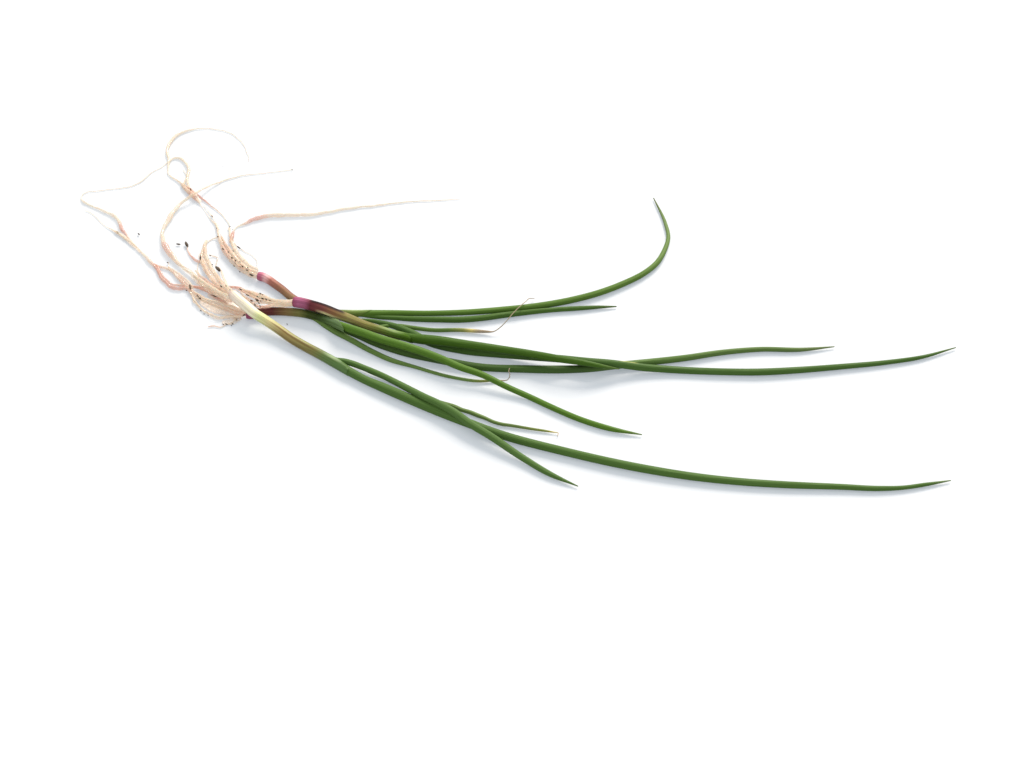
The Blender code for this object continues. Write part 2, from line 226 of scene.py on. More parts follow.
def make_patch():
    """A soft-edged patch on a strand: from one distance to another, on one side of it."""
    tree, given, result = effect(
        "long patch",
        {"Vector": None, "Start": 0.0, "End": 1.0, "Feather": 0.5, "Turn": 0.0, "Half width": 40.0},
        "Mask",
    )
    parts = node(tree, "ShaderNodeSeparateXYZ", {0: given["Vector"]}).outputs
    turn = maths(tree, "ARCTAN2", parts[1], parts[0])
    away = maths(tree, "SUBTRACT", turn, maths(tree, "RADIANS", given["Turn"]))
    away = maths(tree, "ABSOLUTE", maths(tree, "WRAP", away, math.pi, -math.pi))
    away = maths(tree, "DEGREES", away)
    inner = maths(tree, "MULTIPLY", given["Half width"], 0.5)
    across = node(tree, "ShaderNodeMapRange", {0: away, 1: given["Half width"], 2: inner, 3: 0.0, 4: 1.0})
    past_start = maths(tree, "SUBTRACT", parts[2], given["Start"])
    before_end = maths(tree, "SUBTRACT", given["End"], parts[2])
    rise = maths(tree, "DIVIDE", past_start, given["Feather"], clamp=True)
    fall = maths(tree, "DIVIDE", before_end, given["Feather"], clamp=True)
    both = maths(tree, "MULTIPLY", rise, fall)
    tree.links.new(maths(tree, "MULTIPLY", both, across.outputs[0]), result["Mask"])
    return tree


fibres = make_fibres()
long_patch = make_patch()


def new_material(name):
    """A plain material, its tree and its shader."""
    material = bpy.data.materials.new(name)
    material.use_nodes = True
    tree = material.node_tree
    return material, tree, tree.nodes["Principled BSDF"]


RAGGED_SCALE = 1.3
RAGGED_REACH = 0.8
STREAK_ALONG = 0.1
STREAK_ROUGHER = 0.12
SKIN_RELIEF = 0.00006


def skin(name, stops, streak, streak_amount, roughness, gloss, across=4.0, patches=()):
    """A living skin: colours along the strand, fine lengthwise streaks and soft patches, some of them
    painted highlight or painted shade.
    """
    material, tree, shader = new_material(name)
    where = node(tree, "ShaderNodeAttribute", attribute_name="straight").outputs["Vector"]
    distance = node(tree, "ShaderNodeSeparateXYZ", {0: where}).outputs[2]
    cells = {"Vector": where, "Scale": RAGGED_SCALE, "Detail": 2.0}
    ragged = node(tree, "ShaderNodeTexNoise", cells).outputs[0]
    shifted = maths(tree, "MULTIPLY_ADD", maths(tree, "SUBTRACT", ragged, 0.5), RAGGED_REACH, distance)
    length = stops[-1][0]
    ramp = node(tree, "ShaderNodeValToRGB", {0: maths(tree, "DIVIDE", shifted, length)}).color_ramp
    while len(ramp.elements) < len(stops):
        ramp.elements.new(0.5)
    for element, (reach, _) in zip(ramp.elements, stops):
        element.position = reach / length
    for element, (_, colour) in zip(ramp.elements, stops):
        element.color = colour
    colour = tree.nodes["Color Ramp"].outputs[0]
    drawn = {"Vector": where, "Across": across, "Along": STREAK_ALONG}
    lines = node(tree, "ShaderNodeGroup", drawn, node_tree=fibres).outputs[0]
    for start, end, feather, turn, half_width, shade, amount in patches:
        reach = {"Start": start, "End": end, "Feather": feather, "Turn": turn, "Half width": half_width}
        patch = node(tree, "ShaderNodeGroup", {"Vector": where, **reach}, node_tree=long_patch)
        colour = mixed(tree, maths(tree, "MULTIPLY", patch.outputs[0], amount), colour, shade)
    colour = mixed(tree, maths(tree, "MULTIPLY", lines, streak_amount), colour, streak, "MULTIPLY")
    tree.links.new(colour, shader.inputs["Base Color"])
    rough = maths(tree, "MULTIPLY_ADD", lines, STREAK_ROUGHER, roughness)
    tree.links.new(rough, shader.inputs["Roughness"])
    bump = node(tree, "ShaderNodeBump", {"Height": lines, "Distance": SKIN_RELIEF, "Strength": 0.6})
    tree.links.new(bump.outputs[0], shader.inputs["Normal"])
    shader.inputs["Specular IOR Level"].default_value = gloss
    return material


SHEATH_WALL = 0.05
SHEATH_RIB = 0.012
FLAT_FOOT = 0.3


def sheath(name, slot, stem_node, path, ribs, mouth, slant, finish):
    """One sheath: closed and nearly flat at the foot, cut slantwise where the leaves leave it."""
    shape = new_shape()
    strand(
        shape, path, STEM_GAP, STEM_SIDES,
        ribs=ribs, rib_depth=SHEATH_RIB, blunt=FLAT_FOOT, open_end=True,
    )
    whole = shape.verts[:] + shape.edges[:] + shape.faces[:]
    bmesh.ops.bisect_plane(shape, geom=whole, plane_co=mouth, plane_no=slant, clear_outer=True)
    bmesh.ops.recalc_face_normals(shape, faces=shape.faces)
    bmesh.ops.solidify(shape, geom=shape.faces[:], thickness=SHEATH_WALL)
    piece(name, shape, finish, slot, stem_node)


# Turns round a strand in degrees: 0 is its side towards the front, 90 is its crown.
TOP_EDGE = 125.0
CROWN = 85.0
FACING = 45.0
FRONT = 5.0
LOW_EDGE = -30.0
SHADE_LINE = tint(170, 158, 138)

sheath("back_sheath", "brown_sheath", "back_stem", [
    (-11.5, 13.1, 1.06, 1), (-11, 12.9, 1.08, 1.07), (-10.2, 12.6, 1.06, 1.06),
    (-9.4, 12.1, 1, 1.02), (-7.8, 10.6, 0.97, 0.97), (-5.5, 8.3, 0.95, 0.94),
    (-3.8, 6.3, 0.95, 0.93), (-0.6, 3.6, 0.95, 0.93), (3, 1.6, 0.95, 0.93),
    (6.8, 0.5, 0.95, 0.95), (10, 0.3, 0.95, 0.95), (12.8, 0.4, 0.92, 0.88), (15.9, 0.5, 0.9, 0.86),
], 9, (13.77, 0.21, 1.0), (0.487, -0.618, -0.618), skin(
    "back_sheath",
    [(0.0, tint(162, 84, 112)), (1.0, tint(180, 106, 126)), (1.9, tint(212, 166, 168)),
     (2.6, tint(206, 156, 156)), (3.8, tint(160, 102, 90)), (6.0, tint(146, 98, 80)),
     (9.0, tint(142, 106, 78)), (14.0, tint(150, 124, 90)), (19.0, tint(122, 108, 60)),
     (24.0, tint(98, 110, 50)), (31.8, tint(88, 116, 46))],
    SHADE_LINE, 0.5, 0.36, gloss=0.12,
    patches=[(4.5, 16.0, 2.5, TOP_EDGE, 32.0, tint(112, 56, 48), 0.7),
             (8.0, 20.0, 3.0, FRONT, 30.0, tint(128, 108, 70), 0.6),
             (25.0, 31.0, 2.0, TOP_EDGE, 46.0, tint(150, 172, 118), 0.45)],
))

sheath("middle_sheath", "plum_sheath", "middle_stem", [
    (-2.4, 1.9, 3.2, 1.2), (-1.6, 1.7, 3.3, 1.27), (-0.3, 1.3, 3.35, 1.25), (1.5, 0.7, 3.35, 1.2),
    (4.6, -0.5, 3.3, 1.15), (7.9, -2, 2.9, 1.15), (10.9, -2.9, 2.2, 1.08),
    (13.9, -3.9, 1.5, 1), (18.4, -5.7, 1.25, 0.97), (21.4, -7.1, 1.3, 0.98),
    (23.5, -8.1, 1.6, 1), (25.4, -9.2, 2, 1.04),
], 11, (23.74, -7.55, 2.2), (0.623, 0.553, 0.553), skin(
    "middle_sheath",
    [(0.0, tint(138, 68, 94)), (1.2, tint(160, 92, 122)), (3.0, tint(140, 78, 102)),
     (4.2, tint(96, 44, 50)), (7.4, tint(118, 68, 64)), (10.6, tint(138, 106, 70)),
     (13.6, tint(154, 146, 90)), (17.4, tint(140, 132, 76)), (21.0, tint(114, 120, 58)),
     (24.0, tint(90, 112, 44)), (27.5, tint(72, 102, 30))],
    SHADE_LINE, 0.5, 0.34, gloss=0.04,
    patches=[(3.6, 13.0, 1.0, TOP_EDGE, 60.0, tint(28, 2, 6), 0.97),
             # Pale olive-tan lower edge, its own colour, painted much paler still: painted light against
             # the shade beneath the raised sheath.
             (5.5, 13.5, 2.5, LOW_EDGE, 50.0, tint(216, 210, 156), 0.95),
             # Dark olive low edge towards the mouth: painted shade on the side turned away from the light.
             (12.5, 29.0, 3.0, LOW_EDGE, 46.0, tint(74, 66, 30), 0.75),
             # Duller crown: painted shade that darkens the top, where the lamp from behind lights it most.
             (11.5, 23.0, 2.0, TOP_EDGE, 56.0, tint(110, 102, 60), 0.75),
             (8.0, 19.0, 2.0, FACING, 16.0, tint(112, 76, 54), 0.35),
             (20.0, 28.5, 3.0, 100.0, 36.0, tint(150, 170, 120), 0.6)],
))

sheath("low_sheath", "olive_sheath", "low_stem", [
    (-13.4, -0.1, 1.05, 0.95), (-12.7, -0.1, 1.02, 1.02), (-10, 0.9, 0.98, 0.98),
    (-7, 1.1, 0.98, 0.98), (-3.5, 0.9, 0.98, 0.98), (-0.4, 0.4, 0.98, 0.98),
    (2.4, -0.6, 0.98, 0.98), (4.6, -1.8, 1.15, 1.02), (6.3, -3.2, 1.7, 1.08),
    (8, -4.8, 2.45, 1.1), (10.2, -6.8, 3, 1.12),
], 9, (9.34, -6.6, 3.0), (0.858, 0.363, 0.363), skin(
    "low_sheath",
    [(0.0, tint(142, 66, 96)), (1.0, tint(146, 72, 100)), (2.2, tint(108, 54, 62)),
     (3.0, tint(92, 46, 44)), (6.0, tint(86, 38, 36)), (9.4, tint(120, 98, 62)),
     (12.5, tint(112, 112, 60)), (14.6, tint(58, 70, 20)), (17.0, tint(46, 60, 18)),
     (19.5, tint(62, 84, 38)),
     (22.0, tint(82, 106, 58)), (25.8, tint(92, 118, 70))],
    SHADE_LINE, 0.5, 0.34, gloss=0.12,
    # The first patch is a painted highlight: a pale pink streak along the top edge.
    patches=[(5.0, 10.5, 1.5, TOP_EDGE, 30.0, tint(150, 104, 98), 0.6),
             (18.5, 25.8, 2.0, CROWN, 40.0, tint(118, 140, 108), 0.35)],
))

sheath("front_sheath", "cream_sheath", "front_stem", [
    (-17, 4.4, 3.35, 1.12), (-16.3, 3.5, 3.4, 1.2), (-15.5, 2.5, 3.42, 1.22), (-13.5, 0.3, 3.4, 1.2),
    (-11.6, -1.65, 3.1, 1.15), (-8.8, -3.4, 2.35, 1.12), (-5.7, -5.8, 1.8, 1.12),
    (-2.9, -8.2, 1.45, 1.12), (0.6, -10.8, 1.2, 1.13), (4.2, -13.4, 1.17, 1.15),
    (6.8, -15.4, 1.17, 1.18), (8.7, -16.9, 1.17, 1.17), (11.3, -19, 1.17, 1.14),
], 10, (9.27, -16.17, 1.8), (0.745, 0.472, 0.472), skin(
    "front_sheath",
    [(0.0, tint(208, 178, 166)), (0.8, tint(218, 202, 188)), (5.4, tint(224, 214, 194)),
     (8.2, tint(228, 222, 190)), (9.8, tint(204, 210, 152)), (13.0, tint(202, 190, 138)),
     (17.5, tint(146, 124, 76)), (22.0, tint(128, 116, 68)), (26.3, tint(114, 110, 62)),
     (29.8, tint(88, 110, 60)), (33.5, tint(80, 108, 58))],
    tint(190, 178, 150), 0.5, 0.34, gloss=0.12,
    patches=[(12.0, 28.0, 3.0, 74.0, 12.0, tint(98, 78, 42), 0.65),
             (12.0, 27.0, 3.0, 14.0, 12.0, tint(98, 82, 44), 0.5),
             (13.0, 26.0, 3.0, 45.0, 12.0, tint(164, 152, 98), 0.35),
             (9.0, 27.0, 3.0, 112.0, 20.0, tint(148, 156, 98), 0.6),
             (8.0, 20.0, 3.0, LOW_EDGE, 34.0, tint(172, 184, 126), 0.6),
             (28.5, 34.5, 2.5, 105.0, 34.0, tint(160, 178, 140), 0.55)],
))


# The eleven leaves. Each is a hollow pointed tube of soft green tissue with a waxy bloom,
# a little flattened. The oldest leaf of three seedlings has withered back from its tip,
# which leaves a yellow end and a dry grey-brown thread.

LEAF_GAP = 0.6
LEAF_SIDES = 28
VEIN = tint(190, 205, 170)
DRY_THREAD = tint(150, 132, 112)
LEAF_FLAT = 0.94
LEAF_RIB = 0.015
LEAF_BRIGHT = 0.92
LEAF_ROUGHNESS = 0.5
LEAF_GLOSS = 0.12
VEIN_AMOUNT = 0.45
VEINS_ACROSS = 5.0


def green(length, base, body, tip):
    """Colour stops of a fresh leaf: pale at its foot, green, and a lighter point."""
    shade = [tuple(c * LEAF_BRIGHT for c in colour[:3]) + (1.0,) for colour in (base, body, tip)]
    return [(0.0, shade[0]), (4.0, shade[1]), (length - 5.0, shade[1]), (length, shade[2])]


def leaf(name, leaf_node, path, stops, patches=()):
    """One leaf with a skin of its own."""
    shape = new_shape()
    strand(shape, path, LEAF_GAP, LEAF_SIDES, tall=LEAF_FLAT, ribs=2, rib_depth=LEAF_RIB)
    finish = skin(
        name, stops, VEIN, VEIN_AMOUNT, LEAF_ROUGHNESS,
        gloss=LEAF_GLOSS, across=VEINS_ACROSS, patches=patches,
    )
    piece(name, shape, finish, "leaf_green", leaf_node)


leaf("curled_leaf", "back_leaf_curled", [
    (10.2, 0.4, 0.9, 0.6), (12.4, 0.45, 0.9, 0.8), (14.6, 0.5, 0.9, 0.84), (17.2, 0.62, 0.84, 0.8),
    (20.2, 0.75, 0.77, 0.74), (29.1, 0.7, 0.71, 0.69),
    (37.2, 1, 0.74, 0.72), (45.4, 1.8, 0.78, 0.76), (53.7, 3, 0.8, 0.8),
    (61.7, 5, 0.8, 0.8), (68.8, 7.7, 0.8, 0.78), (74.7, 11, 0.75, 0.74),
    (79, 14.1, 0.72, 0.7), (82.4, 17.9, 0.68, 0.66), (84.5, 22.6, 0.6, 0.57),
    (85.6, 27.4, 0.5, 0.48), (85.1, 32.3, 0.45, 0.42), (82.6, 41.6, 0.4, 0.12),
], [(0.0, tint(90, 112, 46)), (4.0, tint(76, 106, 32)), (70.0, tint(78, 104, 40)),
    (80.0, tint(90, 114, 54)),
    (94.0, tint(106, 124, 76)), (101.0, tint(84, 92, 56))])
leaf("short_leaf", "back_leaf_short", [
    (12.6, 0.1, 0.7, 0.3), (14.9, -0.1, 0.6, 0.46), (17.5, -0.4, 0.52, 0.53), (21, -0.7, 0.58, 0.58),
    (24.5, -1.1, 0.66, 0.66), (28, -1.3, 0.7, 0.7), (31.5, -1.4, 0.74, 0.74), (35.4, -1.5, 0.76, 0.76),
    (41.9, -0.8, 0.74, 0.74), (45.4, -0.1, 0.74, 0.72), (50, 0.8, 0.68, 0.68), (57, 1.9, 0.6, 0.6),
    (64, 2.6, 0.56, 0.56),
    (68.7, 3.1, 0.45, 0.4), (72.5, 3.4, 0.35, 0.14),
], green(58.5, tint(80, 106, 44), tint(66, 94, 34), tint(76, 94, 50)))

leaf("middle_top_leaf", "middle_leaf_top", [
    (20.2, -6.1, 1.25, 0.7), (21.9, -6.9, 1.3, 0.82), (24.5, -8.4, 1.7, 1.02), (27.5, -9.8, 2.5, 1.2),
    (31.2, -10.8, 3, 1.18), (36.7, -11.9, 3.05, 1.06), (45.4, -13.7, 3.1, 0.95),
    (53.6, -15.9, 3.5, 0.9), (59.1, -17.8, 4, 0.86), (64.8, -19, 3.9, 0.68),
    (68.9, -19.3, 3.1, 0.48), (72.5, -19.3, 2.3, 0.12),
], green(55.0, tint(76, 98, 32), tint(60, 90, 16), tint(88, 108, 54)))
leaf("middle_long_leaf", "middle_leaf_long", [
    (13.4, -1.6, 0.9, 0.25), (15.2, -1.7, 0.7, 0.42), (17.6, -2.3, 0.62, 0.58),
    (21.1, -3.7, 0.76, 0.74), (24.6, -5.9, 0.92, 0.9), (29.4, -9.3, 0.93, 0.95),
    (36.5, -11.7, 0.93, 0.95),
    (45.9, -13.2, 1, 0.93), (52.8, -14.5, 1.5, 0.93), (59.1, -15.8, 2.1, 0.92),
    (65.9, -17.5, 2.85, 0.9), (70, -17.8, 2.7, 0.9), (73.7, -17.9, 2.2, 0.9),
    (77.4, -17.9, 1.5, 0.9), (83.1, -18, 0.95, 0.86), (96.1, -18.7, 0.82, 0.82),
    (104.7, -18.8, 0.84, 0.84), (113.8, -18.1, 0.8, 0.78), (123.6, -16.9, 0.7, 0.68),
    (133.5, -15.5, 0.6, 0.58), (142.2, -13.6, 0.5, 0.45), (150.2, -10.4, 0.4, 0.12),
], green(141.0, tint(76, 104, 44), tint(66, 94, 38), tint(100, 114, 68)),
    patches=[(62.0, 67.0, 1.2, TOP_EDGE, 22.0, tint(180, 178, 112), 0.85)])
leaf("middle_withered_leaf", "middle_leaf_withered", [
    (14.6, -3.9, 1.2, 0.3), (17.2, -4.0, 0.95, 0.4), (19.4, -3.5, 0.7, 0.46),
    (21.8, -3.3, 0.55, 0.5), (25, -3.9, 0.53, 0.51),
    (29.7, -4.7, 0.52, 0.5), (36.1, -4.7, 0.52, 0.48), (40.4, -5.1, 0.54, 0.42),
    (42.4, -5.3, 0.58, 0.3), (43.9, -5.4, 0.7, 0.14), (45.4, -4.8, 1.4, 0.11),
    (46.8, -3.6, 2.2, 0.1), (48.4, -1.2, 2.5, 0.1), (50, 1.3, 2.35, 0.1),
    (51.4, 3.7, 1.7, 0.1), (52.4, 5.6, 0.9, 0.1), (53.4, 6.1, 0.4, 0.08),
], [(0.0, tint(84, 108, 46)), (3.0, tint(78, 104, 42)), (19.0, tint(80, 104, 44)),
    (22.6, tint(126, 128, 66)), (24.4, tint(192, 174, 110)), (26.2, DRY_THREAD), (41.3, DRY_THREAD)])

leaf("low_top_leaf", "low_leaf_top", [
    (5.6, -3.2, 1.5, 0.5), (7.5, -4.4, 2.3, 0.75), (9, -5.7, 2.8, 0.9), (10.9, -6.8, 3, 0.98),
    (13.7, -8.1, 3, 1), (17.9, -10.2, 3, 1), (22.5, -12.1, 3, 0.98),
    (27.2, -14.2, 3, 0.95), (31.8, -16.6, 3, 0.9), (36.4, -19.3, 2.9, 0.83),
    (41.3, -21.1, 2.3, 0.76), (46.8, -24, 1.4, 0.7), (52.4, -26.9, 0.75, 0.7),
    (57.5, -30.2, 0.7, 0.69), (63.4, -33.7, 0.68, 0.68), (70.5, -36.7, 0.62, 0.6),
    (77.1, -38.2, 0.4, 0.12),
], green(80.0, tint(84, 112, 40), tint(78, 110, 32), tint(100, 118, 62)))
leaf("low_long_leaf", "low_leaf_long", [
    (5.0, -2.2, 0.9, 0.6), (6.7, -3.1, 0.85, 0.7), (8.8, -4.5, 0.85, 0.75), (13.4, -7.2, 0.9, 0.88),
    (16.4, -9.1, 0.92, 0.92), (22.5, -12.1, 0.92, 0.92), (31.7, -15, 0.92, 0.92),
    (41.3, -17.3, 0.88, 0.88), (50.6, -17.9, 0.92, 0.92), (59.1, -18.1, 0.95, 0.95),
    (66, -17.7, 0.9, 0.9), (72.8, -16.6, 0.85, 0.85), (87.8, -14.2, 0.78, 0.77),
    (96.5, -12.3, 0.7, 0.68), (105.2, -11.2, 0.62, 0.6), (114.6, -11.2, 0.52, 0.5),
    (122.3, -10.1, 0.4, 0.12),
], [(0.0, tint(64, 86, 36)), (50.0, tint(60, 85, 36)), (62.0, tint(58, 80, 36)),
    (70.0, tint(78, 104, 46)),
    (110.0, tint(84, 106, 54)), (121.0, tint(100, 112, 70))])
leaf("low_withered_leaf", "low_leaf_withered", [
    (1.7, -1.0, 0.8, 0.3), (3.2, -1.9, 0.68, 0.48), (4.7, -3.2, 0.64, 0.6), (6.2, -4.5, 0.68, 0.66),
    (7.7, -5.7, 0.72, 0.72),
    (10.2, -7.5, 0.72, 0.7), (15.8, -11.7, 0.62, 0.62), (20.6, -14.7, 0.58, 0.58),
    (25.3, -16.5, 0.45, 0.44), (34.7, -20.1, 0.4, 0.4), (40.9, -21.3, 0.38, 0.34),
    (44.2, -21.1, 0.37, 0.24), (45.9, -21.1, 0.36, 0.15), (47.2, -21.1, 0.6, 0.11),
    (47.6, -20.9, 1.2, 0.1), (47.7, -20.3, 1.7, 0.09), (47.4, -19.7, 2, 0.09), (47.6, -19, 2.2, 0.08),
], [(0.0, tint(84, 104, 48)), (4.0, tint(90, 114, 56)), (42.0, tint(94, 118, 60)),
    (46.5, tint(126, 128, 70)), (48.4, tint(190, 176, 122)), (49.6, DRY_THREAD), (51.2, DRY_THREAD)])

leaf("front_top_leaf", "front_leaf_top", [
    (6.8, -14.4, 1.2, 0.28), (8.2, -15, 1.15, 0.42), (9.6, -15.5, 1.15, 0.64), (11.2, -16.1, 1.1, 0.72),
    (14.7, -17.8, 1, 0.7), (18.2, -20.1, 1.3, 0.69), (21.7, -22.9, 1.7, 0.74), (25.2, -25.8, 2.1, 0.8),
    (28.6, -28.5, 2.4, 0.84), (31.4, -30.4, 2.5, 0.87), (34.9, -33, 2.5, 0.9),
    (38.8, -36.6, 2.3, 0.9), (43.7, -40.4, 1.9, 0.86), (50.3, -45.7, 1, 0.77),
    (57, -50.8, 0.65, 0.6), (62.6, -53.9, 0.4, 0.12),
], green(69.0, tint(92, 118, 64), tint(76, 104, 48), tint(86, 106, 58)))
leaf("front_long_leaf", "front_leaf_long", [
    (6.2, -14.9, 1.12, 1.05), (7.2, -15.6, 1.15, 1.12), (10.5, -18.4, 1.12, 1.06),
    (14.8, -21.6, 1.1, 0.98), (18.5, -23.8, 1.12, 1.1),
    (25.6, -28.1, 1.15, 1.15), (34.9, -33.4, 1.1, 1.1), (45.7, -38.8, 1, 1),
    (59.3, -43.8, 1, 0.98), (76.4, -49, 1, 0.97), (87.3, -51.4, 0.93, 0.92),
    (98.2, -53, 0.87, 0.86), (107.3, -53.8, 0.82, 0.81), (120.5, -54.4, 0.7, 0.68),
    (128.5, -54.8, 0.62, 0.61), (133.8, -54.5, 0.55, 0.5), (139.2, -53.4, 0.46, 0.43),
    (144.5, -52.2, 0.4, 0.12),
], green(147.0, tint(80, 108, 48), tint(72, 100, 42), tint(96, 112, 68)))
leaf("front_withered_leaf", "front_leaf_withered", [
    (11.6, -15.9, 0.8, 0.2), (13.5, -17.2, 0.7, 0.3), (15.5, -18.4, 0.56, 0.36),
    (18.1, -19.8, 0.47, 0.4),
    (23.9, -23.1, 0.45, 0.42), (28.5, -26.3, 0.48, 0.46), (31.9, -28.2, 0.5, 0.5),
    (35.3, -29.7, 0.55, 0.54), (36.9, -30.6, 0.52, 0.5),
    (38.7, -31.3, 0.5, 0.5), (40.5, -32.3, 0.5, 0.5), (42.1, -33.1, 0.46, 0.44),
    (43.7, -34.1, 0.44, 0.42), (45.5, -34.9, 0.44, 0.42), (48, -35.4, 0.42, 0.38),
    (52.6, -36.4, 0.36, 0.32),
    (56.2, -37.1, 0.33, 0.24), (57.6, -37.4, 0.33, 0.14), (58.5, -37.6, 0.33, 0.09),
    (58.3, -38.6, 0.33, 0.07),
], [(0.0, tint(84, 108, 52)), (4.0, tint(88, 110, 56)), (36.0, tint(92, 112, 58)),
    (43.0, tint(96, 112, 62)),
    (49.4, tint(124, 130, 66)), (51.4, tint(182, 164, 92)), (53.0, tint(160, 136, 110)),
    (54.2, DRY_THREAD)])


# The roots. Each seedling has a tuft of fleshy threads that leave the foot together, with
# finer ones beside them. They are wet and half see-through, cream with salmon stretches.

ROOT_GAP = 0.45
ROOT_SIDES = 14
ROOT_WANDER = 0.22
ROOT_LUMPS = 0.25
ROOT_TURN = 9.0
HAIR_LEAST = 0.08
SWOLLEN = 1.15
NEARLY_DOWN = 0.5
FLESHY = 0.35
FIBRE_ROWS = 8
FIBRE_RADIUS = 0.08
FIBRE_SIDES = 8
FIBRE_WANDER = 0.9
FIBRE_LUMPS = 0.5
FIBRE_TURNS = (4.0, 8.0)
FIBRE_LIFT = 0.6
FIBRE_BLUSH = 0.8
# The roots glow a little: a painted glow that stands in for light coming through the wet flesh. ROOT_DIM
# darkens their lit colour to make room for it.
ROOT_PAINTED_GLOW = 0.3
ROOT_DIM = (0.62, 0.62, 0.62, 1.0)
ROOT_WALL = 0.5
ROOT_MOTTLE = 0.5
ROOT_RELIEF = 0.00005
ROOT_SHADES = [
    (0.0, tint(232, 218, 194)), (0.35, tint(228, 204, 178)), (0.65, tint(222, 182, 158)),
    (1.0, tint(210, 148, 128)),
]


def make_root_flesh():
    """Cream, blushing to peach and salmon where the strand says so, with soft lengthwise fibres, and a
    painted glow for light through the flesh.
    """
    material, tree, shader = new_material("root_flesh")
    where = node(tree, "ShaderNodeAttribute", attribute_name="straight").outputs["Vector"]
    flush = node(tree, "ShaderNodeAttribute", attribute_name="blush").outputs["Fac"]
    mottle = node(tree, "ShaderNodeTexNoise", {"Vector": where, "Scale": 1.1, "Detail": 3.0}).outputs[0]
    uneven = maths(tree, "MULTIPLY_ADD", maths(tree, "SUBTRACT", mottle, 0.5), ROOT_MOTTLE, flush)
    ramp = node(tree, "ShaderNodeValToRGB", {0: uneven}).color_ramp
    for reach, _ in ROOT_SHADES[1:-1]:
        ramp.elements.new(reach)
    for element, (reach, shade) in zip(ramp.elements, ROOT_SHADES):
        element.position = reach
        element.color = shade
    drawn = {"Vector": where, "Across": 3.0, "Along": 0.25}
    lines = node(tree, "ShaderNodeGroup", drawn, node_tree=fibres).outputs[0]
    soft = maths(tree, "MULTIPLY", lines, 0.4)
    colour = mixed(tree, soft, tree.nodes["Color Ramp"].outputs[0], tint(238, 226, 208), "MULTIPLY")
    # Painted glow: the colour lights itself, as light through the flesh would, and the lit colour is dimmed
    # to match.
    tree.links.new(mixed(tree, 1.0, colour, ROOT_DIM, "MULTIPLY"), shader.inputs["Base Color"])
    tree.links.new(colour, shader.inputs["Emission Color"])
    shader.inputs["Emission Strength"].default_value = ROOT_PAINTED_GLOW
    shader.inputs["Alpha"].default_value = ROOT_WALL
    bump = node(tree, "ShaderNodeBump", {"Height": lines, "Distance": ROOT_RELIEF, "Strength": 0.5})
    tree.links.new(bump.outputs[0], shader.inputs["Normal"])
    tree.links.new(maths(tree, "MULTIPLY_ADD", lines, 0.15, 0.34), shader.inputs["Roughness"])
    shader.inputs["Subsurface Weight"].default_value = 0.15
    shader.inputs["Subsurface Scale"].default_value = 0.0005
    shader.inputs["Coat Weight"].default_value = 0.15
    return material


root_flesh = make_root_flesh()


def laid_down(x, y, z, radius, blush):
    """A row of a root, swollen with water. Where it is nearly on the table it is laid down, and
    moved back by as much, which keeps its place as the camera sees it."""
    radius = max(radius * SWOLLEN, HAIR_LEAST)
    low = min(z, radius) if z < NEARLY_DOWN else z
    return (x, y + z - low, low, radius, blush)


def tuft(name, roots_node, paths):
    """The roots of one seedling, and two fine fibres beside each fleshy one."""
    shape = new_shape()
    for number, path in enumerate(paths):
        path = [laid_down(*row) for row in path]
        strand(
            shape, path, ROOT_GAP, ROOT_SIDES,
            lumps=ROOT_LUMPS, wander=ROOT_WANDER, turn=number * ROOT_TURN,
        )
    fleshy = [path for path in paths if path[0][3] >= FLESHY]
    for number, path in enumerate(fleshy):
        near = [
            (x, y, z + FIBRE_LIFT * radius, FIBRE_RADIUS, FIBRE_BLUSH * blush)
            for x, y, z, radius, blush in path[:FIBRE_ROWS]
        ]
        for fibre_turn in FIBRE_TURNS:
            strand(
                shape, near, ROOT_GAP, FIBRE_SIDES,
                lumps=FIBRE_LUMPS, wander=FIBRE_WANDER, turn=number * ROOT_TURN + fibre_turn,
            )
    piece(name, shape, root_flesh, "root_cream", roots_node)


